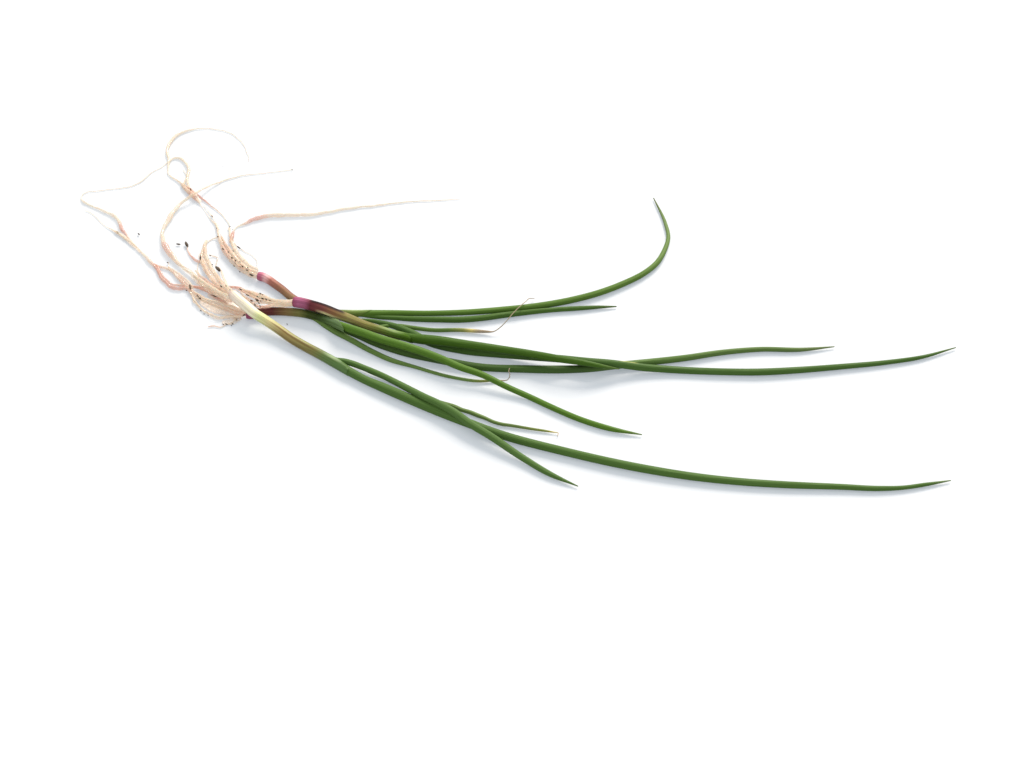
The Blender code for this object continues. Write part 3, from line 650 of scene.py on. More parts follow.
tuft("back_root_tuft", "back_roots", [
    [(-12.3, 13.2, 1, 0.62, 0.3), (-13.6, 14.1, 0.9, 0.62, 0.3), (-15.4, 15.6, 0.8, 0.6, 0.45),
     (-17.2, 17.6, 0.75, 0.58, 0.3), (-18.9, 20.1, 0.75, 0.56, 0.5), (-20.4, 22.7, 0.72, 0.48, 0.6),
     (-21.5, 25.9, 0.6, 0.36, 0.4), (-22.3, 28.9, 0.5, 0.26, 0.2), (-22.7, 31.1, 0.4, 0.26, 0.15),
     (-24.4, 33.8, 0.35, 0.13, 0.1), (-27.7, 40, 0.35, 0.16, 0.3), (-29.2, 42.1, 0.5, 0.42, 0.8),
     (-30.7, 44.2, 0.46, 0.45, 0.5), (-32.3, 46.4, 0.42, 0.36, 0.3)],
    [(-12.2, 13.9, 1.25, 0.5, 0.2), (-14.2, 15.2, 1.2, 0.52, 0.1), (-16.1, 17.4, 1.1, 0.5, 0.2),
     (-17.9, 20.1, 1.05, 0.5, 0.15), (-19.4, 22.7, 0.95, 0.46, 0.6), (-20.6, 25.4, 0.7, 0.3, 0.5),
     (-21.5, 27.8, 0.45, 0.2, 0.3)],
    [(-12.3, 15.2, 1, 0.5, 0.2), (-13.9, 16.4, 0.95, 0.5, 0.3), (-15.6, 18.7, 0.85, 0.5, 0.15),
     (-17.1, 21, 0.8, 0.48, 0.3), (-18.1, 23.5, 0.7, 0.42, 0.2), (-18.9, 25.9, 0.55, 0.3, 0.3),
     (-19.4, 28.6, 0.4, 0.2, 0.1), (-19.7, 31, 0.35, 0.12, 0.1), (-23.1, 37.2, 0.33, 0.12, 0.45),
     (-25.7, 40, 0.33, 0.16, 0.9), (-28.2, 42.7, 0.45, 0.26, 1), (-30.3, 44.8, 0.6, 0.26, 0.8),
     (-31.9, 46.7, 0.5, 0.2, 0.3)],
    [(-13.1, 13.9, 1.75, 0.12, 0.5), (-15.4, 16.1, 1.65, 0.13, 0.6), (-17.2, 18.7, 1.55, 0.12, 0.5),
     (-18.8, 21.5, 1.4, 0.12, 0.6), (-20.1, 24.2, 1.15, 0.1, 0.5), (-21.3, 26.7, 0.7, 0.08, 0.3)],
    [(-13.9, 14.4, 1.5, 0.1, 0.4), (-16.1, 16, 1.4, 0.12, 0.6), (-18.2, 18.4, 1.35, 0.1, 0.6),
     (-19.8, 21, 1.3, 0.1, 0.7), (-20.9, 23.7, 1.1, 0.1, 0.6)],
    [(-31.9, 46.1, 0.42, 0.3, 0.2), (-33.2, 47.6, 0.36, 0.22, 0.25), (-34.6, 49, 0.34, 0.18, 0.2),
     (-36.2, 50.7, 0.33, 0.15, 0.1), (-36.4, 52.2, 0.33, 0.16, 0.1), (-36.4, 55.7, 0.33, 0.3, 0.1),
     (-37.2, 59.1, 0.33, 0.3, 0.1), (-36.8, 62.2, 0.33, 0.34, 0.2), (-35.5, 64.9, 0.33, 0.36, 0.2),
     (-34, 66.5, 0.33, 0.28, 0.05), (-32.1, 67.4, 0.33, 0.2, 0), (-28.9, 68, 0.33, 0.1, 0),
     (-25.7, 67.7, 0.33, 0.09, 0), (-22.3, 66.3, 0.33, 0.09, 0), (-19.7, 63.9, 0.33, 0.09, 0),
     (-18, 60.7, 0.33, 0.08, 0), (-17, 57.4, 0.33, 0.08, 0), (-16.7, 55.5, 0.33, 0.05, 0)],
    [(-30.1, 44.3, 0.5, 0.3, 0.3), (-31, 46.8, 0.4, 0.3, 0.15), (-31.2, 49.1, 0.34, 0.32, 0.1),
     (-31.2, 52, 0.33, 0.34, 0.1), (-32.2, 54.8, 0.33, 0.3, 0.1), (-34.1, 56.8, 0.33, 0.24, 0.05),
     (-35.4, 56.5, 0.33, 0.2, 0.05), (-36.2, 55.5, 0.33, 0.2, 0.1)],
    [(-32, 46.5, 0.4, 0.22, 0.2), (-31.8, 48.4, 0.36, 0.18, 0.1), (-31.3, 49.9, 0.34, 0.16, 0.1)],
    [(-19.2, 25.7, 0.6, 0.3, 0.5), (-18.9, 27.4, 0.5, 0.36, 1), (-18.7, 29.1, 0.42, 0.28, 0.9),
     (-18.5, 30.4, 0.36, 0.14, 0.1), (-17.7, 31.3, 0.36, 0.16, 0), (-16.5, 32.1, 0.38, 0.26, 0.3),
     (-14.9, 33.3, 0.42, 0.36, 0.9), (-13.1, 34.2, 0.46, 0.42, 0.9), (-10.7, 35.1, 0.48, 0.44, 0.5),
     (-7.8, 35.3, 0.48, 0.42, 0.3), (-5.1, 35.3, 0.48, 0.4, 0.25), (-0.2, 35.7, 0.44, 0.36, 0.1),
     (4.2, 36.7, 0.4, 0.3, 0.1), (8.4, 37.9, 0.36, 0.26, 0.05), (15, 39, 0.34, 0.2, 0),
     (21.8, 40.2, 0.33, 0.14, 0), (29.5, 40.9, 0.33, 0.1, 0), (35.7, 41.4, 0.33, 0.07, 0)],
    [(-18.2, 25, 0.8, 0.09, 0.1), (-17.6, 24.2, 0.5, 0.08, 0.1), (-16.6, 23.5, 0.34, 0.08, 0.2),
     (-15.2, 22.3, 0.33, 0.07, 0.1), (-13.7, 21.2, 0.33, 0.07, 0.1), (-12.6, 19.5, 0.33, 0.07, 0.1),
     (-12.1, 16.7, 0.6, 0.06, 0.1)],
    [(-22.2, 27.6, 0.5, 0.14, 0.2), (-23.5, 26.9, 0.42, 0.12, 0.1), (-24.4, 26, 0.4, 0.13, 0.1),
     (-24.9, 24.8, 0.4, 0.14, 0.2)],
    [(-31.4, 49.9, 0.34, 0.1, 0), (-32.6, 52.2, 0.33, 0.05, 0)],
])
tuft("middle_root_tuft", "middle_roots", [
    [(-2.8, 2.1, 3.25, 0.5, 0.15), (-5.3, 2.1, 3, 0.5, 0.1), (-7.8, 3.3, 2.4, 0.46, 0.1),
     (-10.3, 5.8, 1.6, 0.4, 0.15), (-12.7, 7.4, 0.95, 0.36, 0.2), (-15, 8.7, 0.6, 0.34, 0.5),
     (-16.4, 9.7, 0.5, 0.34, 0.9), (-17.8, 10, 0.42, 0.3, 0.8), (-19.1, 10.4, 0.36, 0.2, 0.4)],
    [(-2.8, 1.7, 3.2, 0.6, 0.2), (-5.5, 1.9, 2.9, 0.55, 0.15), (-8.2, 3.5, 2.3, 0.46, 0.25),
     (-10.7, 5.2, 1.6, 0.4, 0.15), (-13.2, 7.3, 1, 0.32, 0.4), (-14.7, 8.5, 0.7, 0.26, 0.6)],
    [(-2.8, 1.5, 3.05, 0.55, 0.45), (-5.3, 1.6, 2.8, 0.5, 0.2), (-7.6, 2.2, 2.5, 0.42, 0.3),
     (-9.8, 3.4, 2, 0.34, 0.35), (-11.9, 5.2, 1.4, 0.28, 0.5), (-13.6, 7, 0.95, 0.24, 0.5),
     (-15.2, 8.3, 0.7, 0.2, 0.6)],
    [(-3, 1.2, 3, 0.4, 0.3), (-5, 1.2, 2.8, 0.34, 0.15), (-6.9, 1.3, 2.65, 0.3, 0.3),
     (-9, 1, 2.5, 0.28, 0.8), (-10.8, 1.1, 2.45, 0.24, 0.6), (-12, 2.4, 2.2, 0.22, 0.5),
     (-13.2, 4, 1.7, 0.2, 0.5), (-14.3, 5.9, 1.2, 0.2, 0.4), (-15.3, 7.8, 0.9, 0.18, 0.5)],
    [(-8.1, 2.4, 2.55, 0.14, 0.3), (-10, 2.4, 2.3, 0.12, 0.3), (-11.4, 3.5, 1.9, 0.12, 0.4),
     (-12.5, 4.1, 1.6, 0.12, 0.5), (-13.7, 5.7, 1.2, 0.12, 0.5)],
    [(-7.2, 3, 2.85, 0.12, 0.3), (-9.2, 4.3, 2.35, 0.12, 0.4), (-11.4, 6.1, 1.75, 0.1, 0.3),
     (-13.4, 7.6, 1.15, 0.1, 0.4)],
])
tuft("low_root_tuft", "low_roots", [
    [(-13.6, 0.7, 1.1, 0.5, 0.5), (-15.9, 1.7, 1, 0.46, 0.35), (-18.1, 3.1, 0.9, 0.42, 0.2),
     (-20.2, 4, 0.85, 0.38, 0.35), (-22.4, 4.9, 0.8, 0.36, 0.2), (-24.4, 6.1, 0.7, 0.34, 0.3),
     (-25.9, 7.5, 0.6, 0.32, 0.4), (-27.4, 9, 0.52, 0.34, 0.6), (-28.7, 9.6, 0.45, 0.34, 0.8),
     (-30.2, 9.3, 0.4, 0.36, 0.9), (-31.9, 10, 0.38, 0.34, 0.9), (-33.5, 11.7, 0.38, 0.32, 0.8),
     (-34.9, 13.8, 0.38, 0.3, 0.85), (-35.9, 16.1, 0.4, 0.3, 0.9), (-36.7, 17.6, 0.42, 0.34, 0.8),
     (-37.8, 18.9, 0.44, 0.36, 0.4), (-38.8, 20.2, 0.46, 0.34, 0.25), (-40.1, 22.1, 0.4, 0.24, 0.1),
     (-41.5, 24, 0.38, 0.16, 0.05), (-42.9, 26.2, 0.38, 0.14, 0.3), (-44.2, 28.1, 0.4, 0.24, 0.8),
     (-45.4, 30, 0.42, 0.38, 1), (-45.9, 31.6, 0.38, 0.36, 0.75), (-46.6, 33.3, 0.36, 0.34, 0.25),
     (-48, 35.3, 0.35, 0.32, 0.1), (-50, 36.6, 0.33, 0.26, 0.1), (-52.2, 37.9, 0.33, 0.22, 0.05),
     (-54.3, 39.3, 0.34, 0.2, 0), (-56, 40.6, 0.38, 0.24, 0.05), (-56.6, 41.5, 0.35, 0.14, 0),
     (-56.4, 42.9, 0.33, 0.1, 0), (-55.7, 43.7, 0.33, 0.1, 0), (-53.3, 44.3, 0.33, 0.08, 0),
     (-50.3, 44.8, 0.33, 0.08, 0), (-47.2, 45.4, 0.33, 0.09, 0), (-45.1, 46.1, 0.33, 0.09, 0),
     (-43.2, 47.3, 0.33, 0.12, 0.1), (-41.8, 48.9, 0.33, 0.12, 0.05), (-40.5, 50.8, 0.33, 0.09, 0),
     (-39.2, 52.1, 0.33, 0.08, 0), (-38, 53.1, 0.33, 0.08, 0), (-36.7, 55.2, 0.33, 0.08, 0)],
    [(-29, 10.5, 0.5, 0.24, 0.7), (-30.2, 10.6, 0.42, 0.24, 0.7), (-31.7, 10.8, 0.4, 0.26, 0.8),
     (-33, 12, 0.4, 0.28, 0.9), (-34.1, 13.5, 0.4, 0.3, 0.9), (-35, 15.3, 0.4, 0.3, 0.8),
     (-35.8, 17.1, 0.42, 0.3, 0.8), (-36.6, 17.9, 0.44, 0.26, 0.6)],
    [(-27.1, 9.2, 0.55, 0.3, 0.4), (-28.5, 10.3, 0.5, 0.32, 0.5), (-29.7, 11.8, 0.5, 0.32, 0.6),
     (-30.8, 13.4, 0.5, 0.3, 0.4), (-32.2, 15.3, 0.48, 0.3, 0.5), (-33.6, 16.5, 0.44, 0.28, 0.4),
     (-35, 17.1, 0.42, 0.28, 0.5), (-36.2, 17.5, 0.42, 0.26, 0.6)],
    [(-26.8, 9.6, 0.6, 0.26, 0.2), (-28.1, 11.6, 0.6, 0.28, 0.2), (-29.4, 13.1, 0.58, 0.28, 0.35),
     (-30.8, 14.7, 0.55, 0.26, 0.2), (-32.1, 15.9, 0.5, 0.22, 0.3), (-33.3, 16.7, 0.45, 0.16, 0.2)],
    [(-32.6, 15.6, 0.5, 0.1, 0.1), (-33.2, 17.2, 0.4, 0.08, 0.1), (-33.4, 18.5, 0.36, 0.08, 0.1)],
    [(-14.1, 0.2, 1, 0.5, 0.6), (-16.1, 0.9, 0.85, 0.46, 0.55), (-18.1, 2, 0.7, 0.4, 0.5),
     (-20.3, 3, 0.6, 0.36, 0.35), (-22.6, 4.4, 0.55, 0.34, 0.4), (-24.6, 5.8, 0.5, 0.32, 0.3),
     (-26.1, 7.3, 0.5, 0.3, 0.4)],
    [(-18.5, 3.6, 1.1, 0.3, 0.7), (-19.9, 4.8, 1.05, 0.3, 0.9), (-21.1, 5.9, 1, 0.28, 0.9),
     (-22.3, 7, 0.9, 0.26, 0.8), (-23.7, 8.2, 0.75, 0.26, 0.7), (-25.3, 9.4, 0.6, 0.28, 0.8),
     (-27.1, 10.2, 0.5, 0.26, 0.8)],
    [(-14.6, -0.1, 0.8, 0.36, 0.4), (-16.9, -0.3, 0.5, 0.3, 0.3), (-19.2, -0.4, 0.42, 0.26, 0.2),
     (-21.6, 0.3, 0.4, 0.24, 0.25), (-23.7, 2, 0.4, 0.24, 0.2), (-25.5, 4.2, 0.4, 0.24, 0.25),
     (-26.6, 6.6, 0.42, 0.26, 0.3), (-27.5, 8.6, 0.45, 0.3, 0.5)],
    [(-16, -0.4, 0.48, 0.2, 0.3), (-16.6, -1.8, 0.36, 0.12, 0.1), (-18, -2.6, 0.33, 0.1, 0.1),
     (-19.3, -3.6, 0.33, 0.12, 0.3), (-21, -3.2, 0.33, 0.15, 0.5), (-22.3, -3.5, 0.33, 0.11, 0.6)],
    [(-41.1, 23.6, 0.42, 0.2, 0), (-43, 25.8, 0.4, 0.26, 0.05), (-44.9, 27.6, 0.38, 0.28, 0.1),
     (-46.6, 29.2, 0.36, 0.26, 0.2), (-47.9, 30.3, 0.34, 0.16, 0.05), (-49.3, 31, 0.33, 0.08, 0),
     (-51, 33, 0.33, 0.06, 0), (-53.1, 35.8, 0.33, 0.05, 0), (-55.1, 37.2, 0.33, 0.04, 0)],
    [(-27.6, 9.9, 0.62, 0.22, 0.5), (-29, 11.7, 0.6, 0.24, 0.6), (-30.5, 13.5, 0.56, 0.22, 0.6)],
])
tuft("front_root_tuft", "front_roots", [
    [(-16.9, 4.7, 3.3, 0.6, 0.25), (-18.2, 6.3, 2.8, 0.48, 0.3), (-19.8, 9.5, 2, 0.42, 0.35),
     (-21.3, 12.6, 1.4, 0.42, 0.3), (-22.7, 15.4, 0.95, 0.42, 0.2), (-23.8, 18.2, 0.7, 0.42, 0.35),
     (-24.5, 20.6, 0.55, 0.44, 0.3), (-25, 23, 0.48, 0.42, 0.45), (-25.2, 24.8, 0.42, 0.34, 0.4),
     (-24.9, 26.3, 0.38, 0.2, 0.15)],
    [(-17.1, 4.3, 3.1, 0.5, 0.3), (-18.5, 5.7, 2.5, 0.44, 0.4), (-20.3, 8.6, 1.7, 0.4, 0.45),
     (-22.2, 11.7, 1.05, 0.4, 0.4), (-23.9, 15, 0.7, 0.4, 0.5), (-25, 17.7, 0.5, 0.38, 0.4),
     (-25.8, 19.9, 0.42, 0.34, 0.45), (-25.5, 22.3, 0.4, 0.32, 0.25), (-25.2, 24.4, 0.38, 0.26, 0.3)],
    [(-25.3, 18.5, 0.44, 0.26, 0.6), (-26.8, 19.3, 0.4, 0.28, 0.9), (-27.9, 20.4, 0.36, 0.22, 0.9),
     (-28.6, 21.6, 0.35, 0.2, 0.8), (-29.1, 23.1, 0.35, 0.16, 0.6), (-29.3, 24.4, 0.35, 0.13, 0.3)],
    [(-23.8, 21.1, 0.55, 0.12, 0.3), (-22.9, 20.8, 0.44, 0.12, 0.3), (-22, 20.3, 0.4, 0.12, 0.4),
     (-21.8, 19.1, 0.38, 0.12, 0.2), (-22, 17.5, 0.36, 0.1, 0.1)],
    [(-26.2, 18.8, 0.4, 0.1, 0.1), (-26.4, 17, 0.35, 0.09, 0.1), (-26, 15.2, 0.4, 0.09, 0.2),
     (-25.3, 13.5, 0.6, 0.1, 0.3)],
    [(-17.4, 6, 3.1, 0.3, 0), (-18.4, 7.8, 2.55, 0.28, 0), (-19.5, 11.2, 1.7, 0.26, 0.1),
     (-20.3, 14.4, 1, 0.22, 0), (-21.1, 16.8, 0.5, 0.16, 0.1)],
    [(-17.3, 3.2, 3.1, 0.4, 0), (-19.5, 5.5, 2.4, 0.4, 0.05), (-22.5, 8.7, 1.6, 0.38, 0),
     (-25.3, 11.9, 1.05, 0.36, 0.1), (-28.3, 15.1, 0.7, 0.36, 0.1), (-30.1, 17.2, 0.6, 0.38, 0.25),
     (-31.8, 19.4, 0.52, 0.46, 0.35), (-33.3, 21.6, 0.6, 0.62, 0.6), (-34.5, 23.8, 0.66, 0.68, 0.85),
     (-35.3, 26.2, 0.55, 0.5, 0.3), (-35.7, 28.3, 0.5, 0.38, 0.15), (-35.5, 30.4, 0.5, 0.4, 0.1),
     (-34.9, 32.6, 0.55, 0.5, 0.15), (-34.3, 34.8, 0.62, 0.5, 0.2), (-33.2, 37.2, 0.7, 0.4, 0.1),
     (-31.9, 39.1, 0.95, 0.34, 0.15), (-30.4, 40.6, 1.3, 0.3, 0.1), (-29.1, 41.7, 1.55, 0.28, 0.15),
     (-27.9, 43, 1.45, 0.24, 0.1), (-25.9, 45.4, 0.9, 0.22, 0.1), (-23.1, 47.7, 0.45, 0.19, 0.05),
     (-20.8, 49, 0.35, 0.14, 0), (-18.5, 50, 0.33, 0.12, 0), (-13.6, 50.9, 0.33, 0.08, 0),
     (-9.5, 51.6, 0.33, 0.07, 0), (-5.8, 52.3, 0.33, 0.05, 0)],
    [(-19.7, 7.3, 2.1, 0.3, 0.5), (-21.6, 8.8, 1.6, 0.34, 0.6), (-23, 10.4, 1.2, 0.34, 0.7),
     (-24.2, 12.1, 1, 0.32, 0.65), (-25.4, 13.5, 0.8, 0.26, 0.5), (-26.7, 15.4, 0.65, 0.2, 0.3)],
    [(-19.7, 6.5, 1.6, 0.26, 0.4), (-21.5, 7.2, 1.2, 0.3, 0.6), (-23, 8.2, 0.9, 0.34, 0.9),
     (-24.5, 9.1, 0.75, 0.34, 0.9), (-25.9, 9.8, 0.65, 0.32, 0.8), (-27.4, 10.3, 0.55, 0.28, 0.6)],
    [(-17.2, 2.7, 2.8, 0.35, 0.6), (-19, 4.2, 2.2, 0.34, 0.5), (-21.1, 6.2, 1.6, 0.32, 0.4),
     (-23.5, 8.9, 1.1, 0.3, 0.4), (-25.5, 11.3, 0.9, 0.26, 0.3)],
])


# Wet skin between the roots. Water and slime left from washing stretch as a thin clouded
# film between roots that lie side by side. One flat film on the table is partly painted shade.

FILM_TALL = 0.22
FILM_SIDES = 16
FILM_LUMPS = 0.2


def make_wet_film():
    """Clouded pale film, thinner in patches, so that what lies behind shows through."""
    material, tree, shader = new_material("wet_film")
    where = node(tree, "ShaderNodeAttribute", attribute_name="straight").outputs["Vector"]
    cloud = node(tree, "ShaderNodeTexNoise", {"Vector": where, "Scale": 0.9, "Detail": 3.0}).outputs[0]
    colour = mixed(tree, cloud, tint(234, 218, 196), tint(220, 192, 168))
    tree.links.new(colour, shader.inputs["Base Color"])
    thick = node(tree, "ShaderNodeMapRange", {0: cloud, 1: 0.35, 2: 0.65, 3: 0.2, 4: 0.55})
    tree.links.new(thick.outputs[0], shader.inputs["Alpha"])
    shader.inputs["Roughness"].default_value = 0.25
    return material


films = new_shape()
for path in [
    [(-13.2, 14.3, 0.9, 0.6), (-15.5, 16.8, 0.85, 0.8), (-17.6, 19.7, 0.8, 0.8),
     (-19.5, 22.9, 0.7, 0.5), (-21.2, 26.4, 0.5, 0.3)],
    [(-18.7, 7.3, 2, 0.9), (-21.2, 11.1, 1.3, 1.2), (-23.4, 15.1, 0.8, 1.1), (-25, 18.9, 0.5, 0.8),
     (-25.3, 22.9, 0.42, 0.5)],
    [(-18.6, 5.9, 2, 0.9), (-21.4, 8, 1.3, 1.3), (-24.2, 10.5, 0.9, 1.2), (-26.8, 13.2, 0.65, 0.7)],
    [(-7, 3.1, 2.5, 0.5), (-9.3, 4.4, 2, 0.7), (-11.8, 6.2, 1.3, 0.7), (-13.8, 7.7, 0.8, 0.5)],
    [(-15.7, 1.9, 0.6, 0.8), (-17.7, 4, 0.6, 1.3), (-20.1, 5.6, 0.55, 1.1), (-22.6, 7.2, 0.5, 0.6)],
    [(-4.8, 1.6, 2.9, 0.8), (-7.7, 2.7, 2.4, 0.9), (-10.2, 5, 1.7, 0.6), (-12.7, 7.1, 1, 0.5)],
    [(-15.1, 0.7, 0.7, 0.7), (-17.7, 1.3, 0.5, 1.1), (-20.8, 2.3, 0.45, 1.2), (-23.5, 4.1, 0.45, 1),
     (-25.5, 6.5, 0.45, 0.6)],
    # This flat film on the table under the low tuft is partly a wet patch and partly painted shade: it
    # greys the table where the roots' shade falls.
    [(-15.5, -0.6, 0.16, 0.7), (-16.9, -1.5, 0.16, 1), (-18.5, -1.8, 0.16, 0.7)],
    [(-40.4, 22.3, 0.36, 0.3), (-42.6, 25.1, 0.36, 0.4), (-45, 28, 0.33, 0.5), (-47.1, 29.8, 0.3, 0.3)],
    [(-27.5, 40.3, 0.6, 0.4), (-29.3, 42.7, 0.6, 0.7), (-31, 45.1, 0.5, 0.7), (-32.3, 46.6, 0.4, 0.35)],
    [(-26.5, 39.3, 0.2, 0.2), (-24.8, 36.4, 0.2, 0.22), (-23.1, 33.1, 0.25, 0.25),
     (-22.4, 30.5, 0.3, 0.35)],
]:
    strand(films, path, ROOT_GAP, FILM_SIDES, tall=FILM_TALL, lumps=FILM_LUMPS)
piece("wet_films", films, make_wet_film(), "root_cream")


# Crumbs of potting soil that stayed on the washed roots and fell beside them: rough dark
# grains, most of them drawn out along the root they stick to.

CRUMB_DENTS = 0.35
DENTS_ACROSS = 1.4
SOIL_GRAINS = 4000.0
SOIL_RELIEF = 0.0001


def make_soil():
    """Dark peat with a few paler grains."""
    material, tree, shader = new_material("soil")
    where = node(tree, "ShaderNodeTexCoord").outputs["Object"]
    cells = {"Vector": where, "Scale": SOIL_GRAINS, "Detail": 3.0}
    grain = node(tree, "ShaderNodeTexNoise", cells).outputs[0]
    spread = node(tree, "ShaderNodeMapRange", {0: grain, 1: 0.4, 2: 0.68, 3: 0.0, 4: 1.0}).outputs[0]
    tree.links.new(mixed(tree, spread, tint(44, 34, 26), tint(96, 76, 56)), shader.inputs["Base Color"])
    bump = node(tree, "ShaderNodeBump", {"Height": grain, "Distance": SOIL_RELIEF, "Strength": 0.8})
    tree.links.new(bump.outputs[0], shader.inputs["Normal"])
    shader.inputs["Roughness"].default_value = 0.85
    return material


crumbs = new_shape()
for x, y, z, reach, half_width, turn in [
    (-21.3, 15.4, 1.2, 1.07, 0.39, -52), (-13.2, 12.9, 1.6, 0.62, 0.22, -33),
    (-25.8, 19.7, 0.9, 0.85, 0.18, -86), (-27.4, 9.4, 1, 0.95, 0.23, -76),
    (-28.2, 8.4, 0.8, 0.23, 0.14, -45), (-29.5, 24.8, 0.5, 0.94, 0.34, -67),
    (-31.5, 25.1, 0.3, 0.54, 0.19, -12), (-33.5, 18.5, 0.4, 0.25, 0.14, -39),
    (-24.8, 5.5, 1, 0.41, 0.2, -45), (-25.4, 6.4, 1, 0.59, 0.11, -59),
    (-18.1, 21.5, 1.3, 0.28, 0.14, -62), (-17.3, 16.9, 1.7, 0.24, 0.12, -57),
    (-14.2, 15.2, 1.8, 0.22, 0.12, -46), (-20.6, 22.2, 1.4, 0.29, 0.17, -48),
    (-16, 15.5, 1.8, 0.22, 0.1, -43), (-23.5, 20.1, 1.2, 0.25, 0.14, -40),
    (-22.7, 16.7, 1.4, 0.22, 0.12, -46), (-19.9, 7.9, 2.6, 0.41, 0.15, -48),
    (-18.7, 7.6, 3, 0.21, 0.12, -49), (-17.6, 5.5, 3.6, 0.23, 0.15, -38),
    (-22.2, 27.2, 0.8, 0.27, 0.15, -44), (-17, 23.6, 0.6, 0.72, 0.16, -43),
    (-15.5, 8.5, 1.1, 0.36, 0.17, -32), (-24.3, 1.4, 0.9, 0.25, 0.14, -43),
    (-23.4, 0.3, 0.9, 0.19, 0.11, -44), (-22.5, -0.1, 0.9, 0.18, 0.11, -38),
    (-21.4, 5.8, 1.5, 0.87, 0.15, -32), (-14.1, 0.5, 2.3, 0.45, 0.19, 20),
    (-14, -0.7, 1.5, 0.38, 0.17, 25), (-4, -2.4, 0.2, 0.25, 0.1, -65),
    (-41.3, 28.7, 0.3, 0.38, 0.18, -53), (-24.2, 35.1, 0.3, 0.35, 0.14, -70),
    (-22.7, 30.4, 0.6, 0.28, 0.11, -59), (-19.6, 31.2, 0.5, 0.25, 0.11, -54),
    (-30, 44, 1.2, 0.44, 0.14, -70), (-13.6, 5.5, 2, 0.49, 0.16, -37),
    (-12.5, 3.2, 2.4, 0.41, 0.18, -35), (-11.2, 3.2, 2.6, 0.57, 0.27, -42),
    (-9.9, 3.6, 2.7, 0.4, 0.18, -24), (-9, 3.1, 2.9, 0.36, 0.15, -35),
    (-8.1, 2.5, 3.1, 0.28, 0.1, -28), (-11.6, 1.8, 2.6, 0.35, 0.12, -38),
    (-10.7, 2.1, 2.7, 0.32, 0.14, -44), (-10.3, 2.8, 2.7, 0.24, 0.14, -40),
    (-11.2, 4.5, 2.5, 0.26, 0.12, -39), (-10.6, 5.8, 2.3, 0.29, 0.12, -28),
    (-10, 5.3, 2.4, 0.23, 0.09, -35), (-11.5, 1.2, 2.7, 0.27, 0.11, -31),
    (-10.3, 1, 2.8, 0.25, 0.11, -35), (-18.9, 30.2, 0.5, 0.17, 0.07, -54),
    (-16.4, -0.2, 0.2, 0.32, 0.14, -57), (-15.9, -0.9, 0.2, 0.47, 0.18, -68),
    (-16.7, -2.2, 0.2, 0.36, 0.14, -56), (-18.1, -2.4, 0.2, 0.34, 0.15, -32),
    (-18.8, -2.5, 0.2, 0.21, 0.11, -29), (-16.9, -2.8, 0.2, 0.2, 0.1, -45),
    (-26.7, 13.1, 0.7, 0.22, 0.11, -63), (-5.8, 52.3, 0.3, 0.23, 0.1, -41),
    (-46.4, 29.1, 0.5, 0.47, 0.14, -47), (-22.9, 53.5, 0.2, 0.17, 0.07, -63),
    (-19.2, 21.2, 1.3, 0.3, 0.14, -60), (-18.2, 19, 1.5, 0.36, 0.15, -55),
    (-17.3, 17.9, 1.6, 0.3, 0.14, -50), (-16.2, 17.4, 1.6, 0.4, 0.14, -48),
    (-15.5, 15.8, 1.7, 0.34, 0.15, -45), (-14.3, 14.3, 1.8, 0.32, 0.15, -40),
    (-16, 14, 1.6, 0.28, 0.13, -45), (-17.5, 16.1, 1.5, 0.26, 0.13, -50),
    (-15.3, 18.2, 1.3, 0.26, 0.12, -50),
]:
    crumb = bmesh.ops.create_icosphere(crumbs, subdivisions=2, radius=1.0)["verts"]
    for vertex in crumb:
        vertex.co *= 1 + CRUMB_DENTS * noise.noise(vertex.co * DENTS_ACROSS + Vector((x, y, 0)))
    bmesh.ops.scale(crumbs, verts=crumb, vec=(reach, half_width, half_width))
    bmesh.ops.rotate(crumbs, verts=crumb, matrix=Matrix.Rotation(math.radians(turn), 3, "Z"))
    bmesh.ops.translate(crumbs, verts=crumb, vec=(x, y, z))
piece("soil_crumbs", crumbs, make_soil(), "root_cream")


# The table they lie on, the soft light and the camera.

TABLE_REACH = 3.0
TABLE_DROP = 0.0001


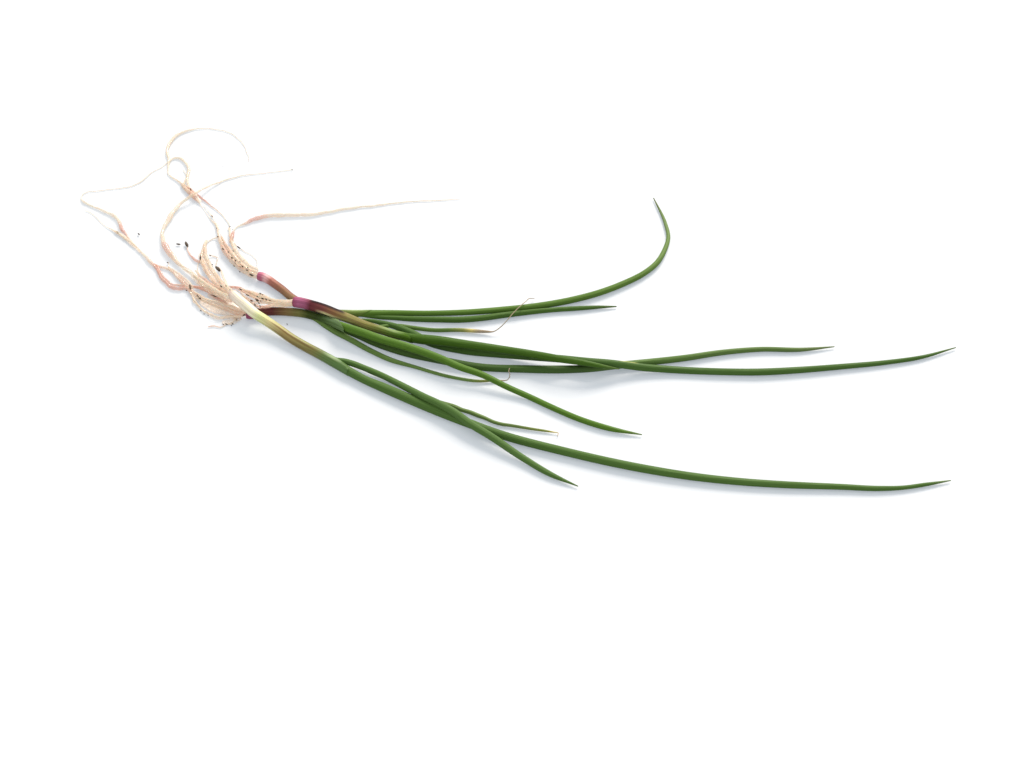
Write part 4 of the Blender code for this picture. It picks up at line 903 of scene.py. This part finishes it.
def make_table():
    """A white tabletop that glows a little, as paper does with light coming through it."""
    shape = bmesh.new()
    bmesh.ops.create_grid(shape, x_segments=1, y_segments=1, size=TABLE_REACH)
    bmesh.ops.translate(shape, verts=shape.verts, vec=(0, 0, -TABLE_DROP))
    mesh = bpy.data.meshes.new("table")
    shape.to_mesh(mesh)
    shape.free()
    material, _, shader = new_material("table_white")
    shader.inputs["Base Color"].default_value = (0.41, 0.41, 0.41, 1.0)
    shader.inputs["Roughness"].default_value = 0.7
    shader.inputs["Specular IOR Level"].default_value = 0.2
    shader.inputs["Emission Color"].default_value = (0.86, 0.95, 1.06, 1.0)
    shader.inputs["Emission Strength"].default_value = 0.3
    mesh.materials.append(material)
    table = bpy.data.objects.new("table", mesh)
    bpy.context.scene.collection.objects.link(table)


def make_lamp(name, place, aim, wide, tall, power, colour):
    """A soft rectangular lamp, aimed at a spot."""
    light = bpy.data.lights.new(name, "AREA")
    light.shape = "RECTANGLE"
    light.size = wide
    light.size_y = tall
    light.energy = power
    light.color = colour
    lamp = bpy.data.objects.new(name, light)
    lamp.location = place
    lamp.rotation_euler = (Vector(aim) - Vector(place)).to_track_quat("-Z", "Y").to_euler()
    bpy.context.scene.collection.objects.link(lamp)


make_table()
make_lamp("window", (0.8, 2.45, 1.95), (0.05, 0, 0), 1.4, 1.4, 180.0, (1.0, 0.93, 0.85))
make_lamp("fill", (-0.1, -0.6, 0.7), (0.03, 0, 0), 0.6, 0.6, 0.6, (1.0, 1.0, 1.0))

world = bpy.data.worlds.new("room")
world.use_nodes = True
world.node_tree.nodes["Background"].inputs["Color"].default_value = (0.93, 0.97, 1.0, 1.0)
world.node_tree.nodes["Background"].inputs["Strength"].default_value = 1.0
bpy.context.scene.world = world
bpy.context.scene.view_settings.view_transform = "Standard"

lens = bpy.data.cameras.new("camera")
lens.lens = 100.0
lens.sensor_width = 36.0
camera = bpy.data.objects.new("camera", lens)
camera.location = (0.04818, -0.47896, 0.45712)
camera.rotation_euler = (math.radians(45.0), 0, 0)
bpy.context.scene.collection.objects.link(camera)
bpy.context.scene.camera = camera
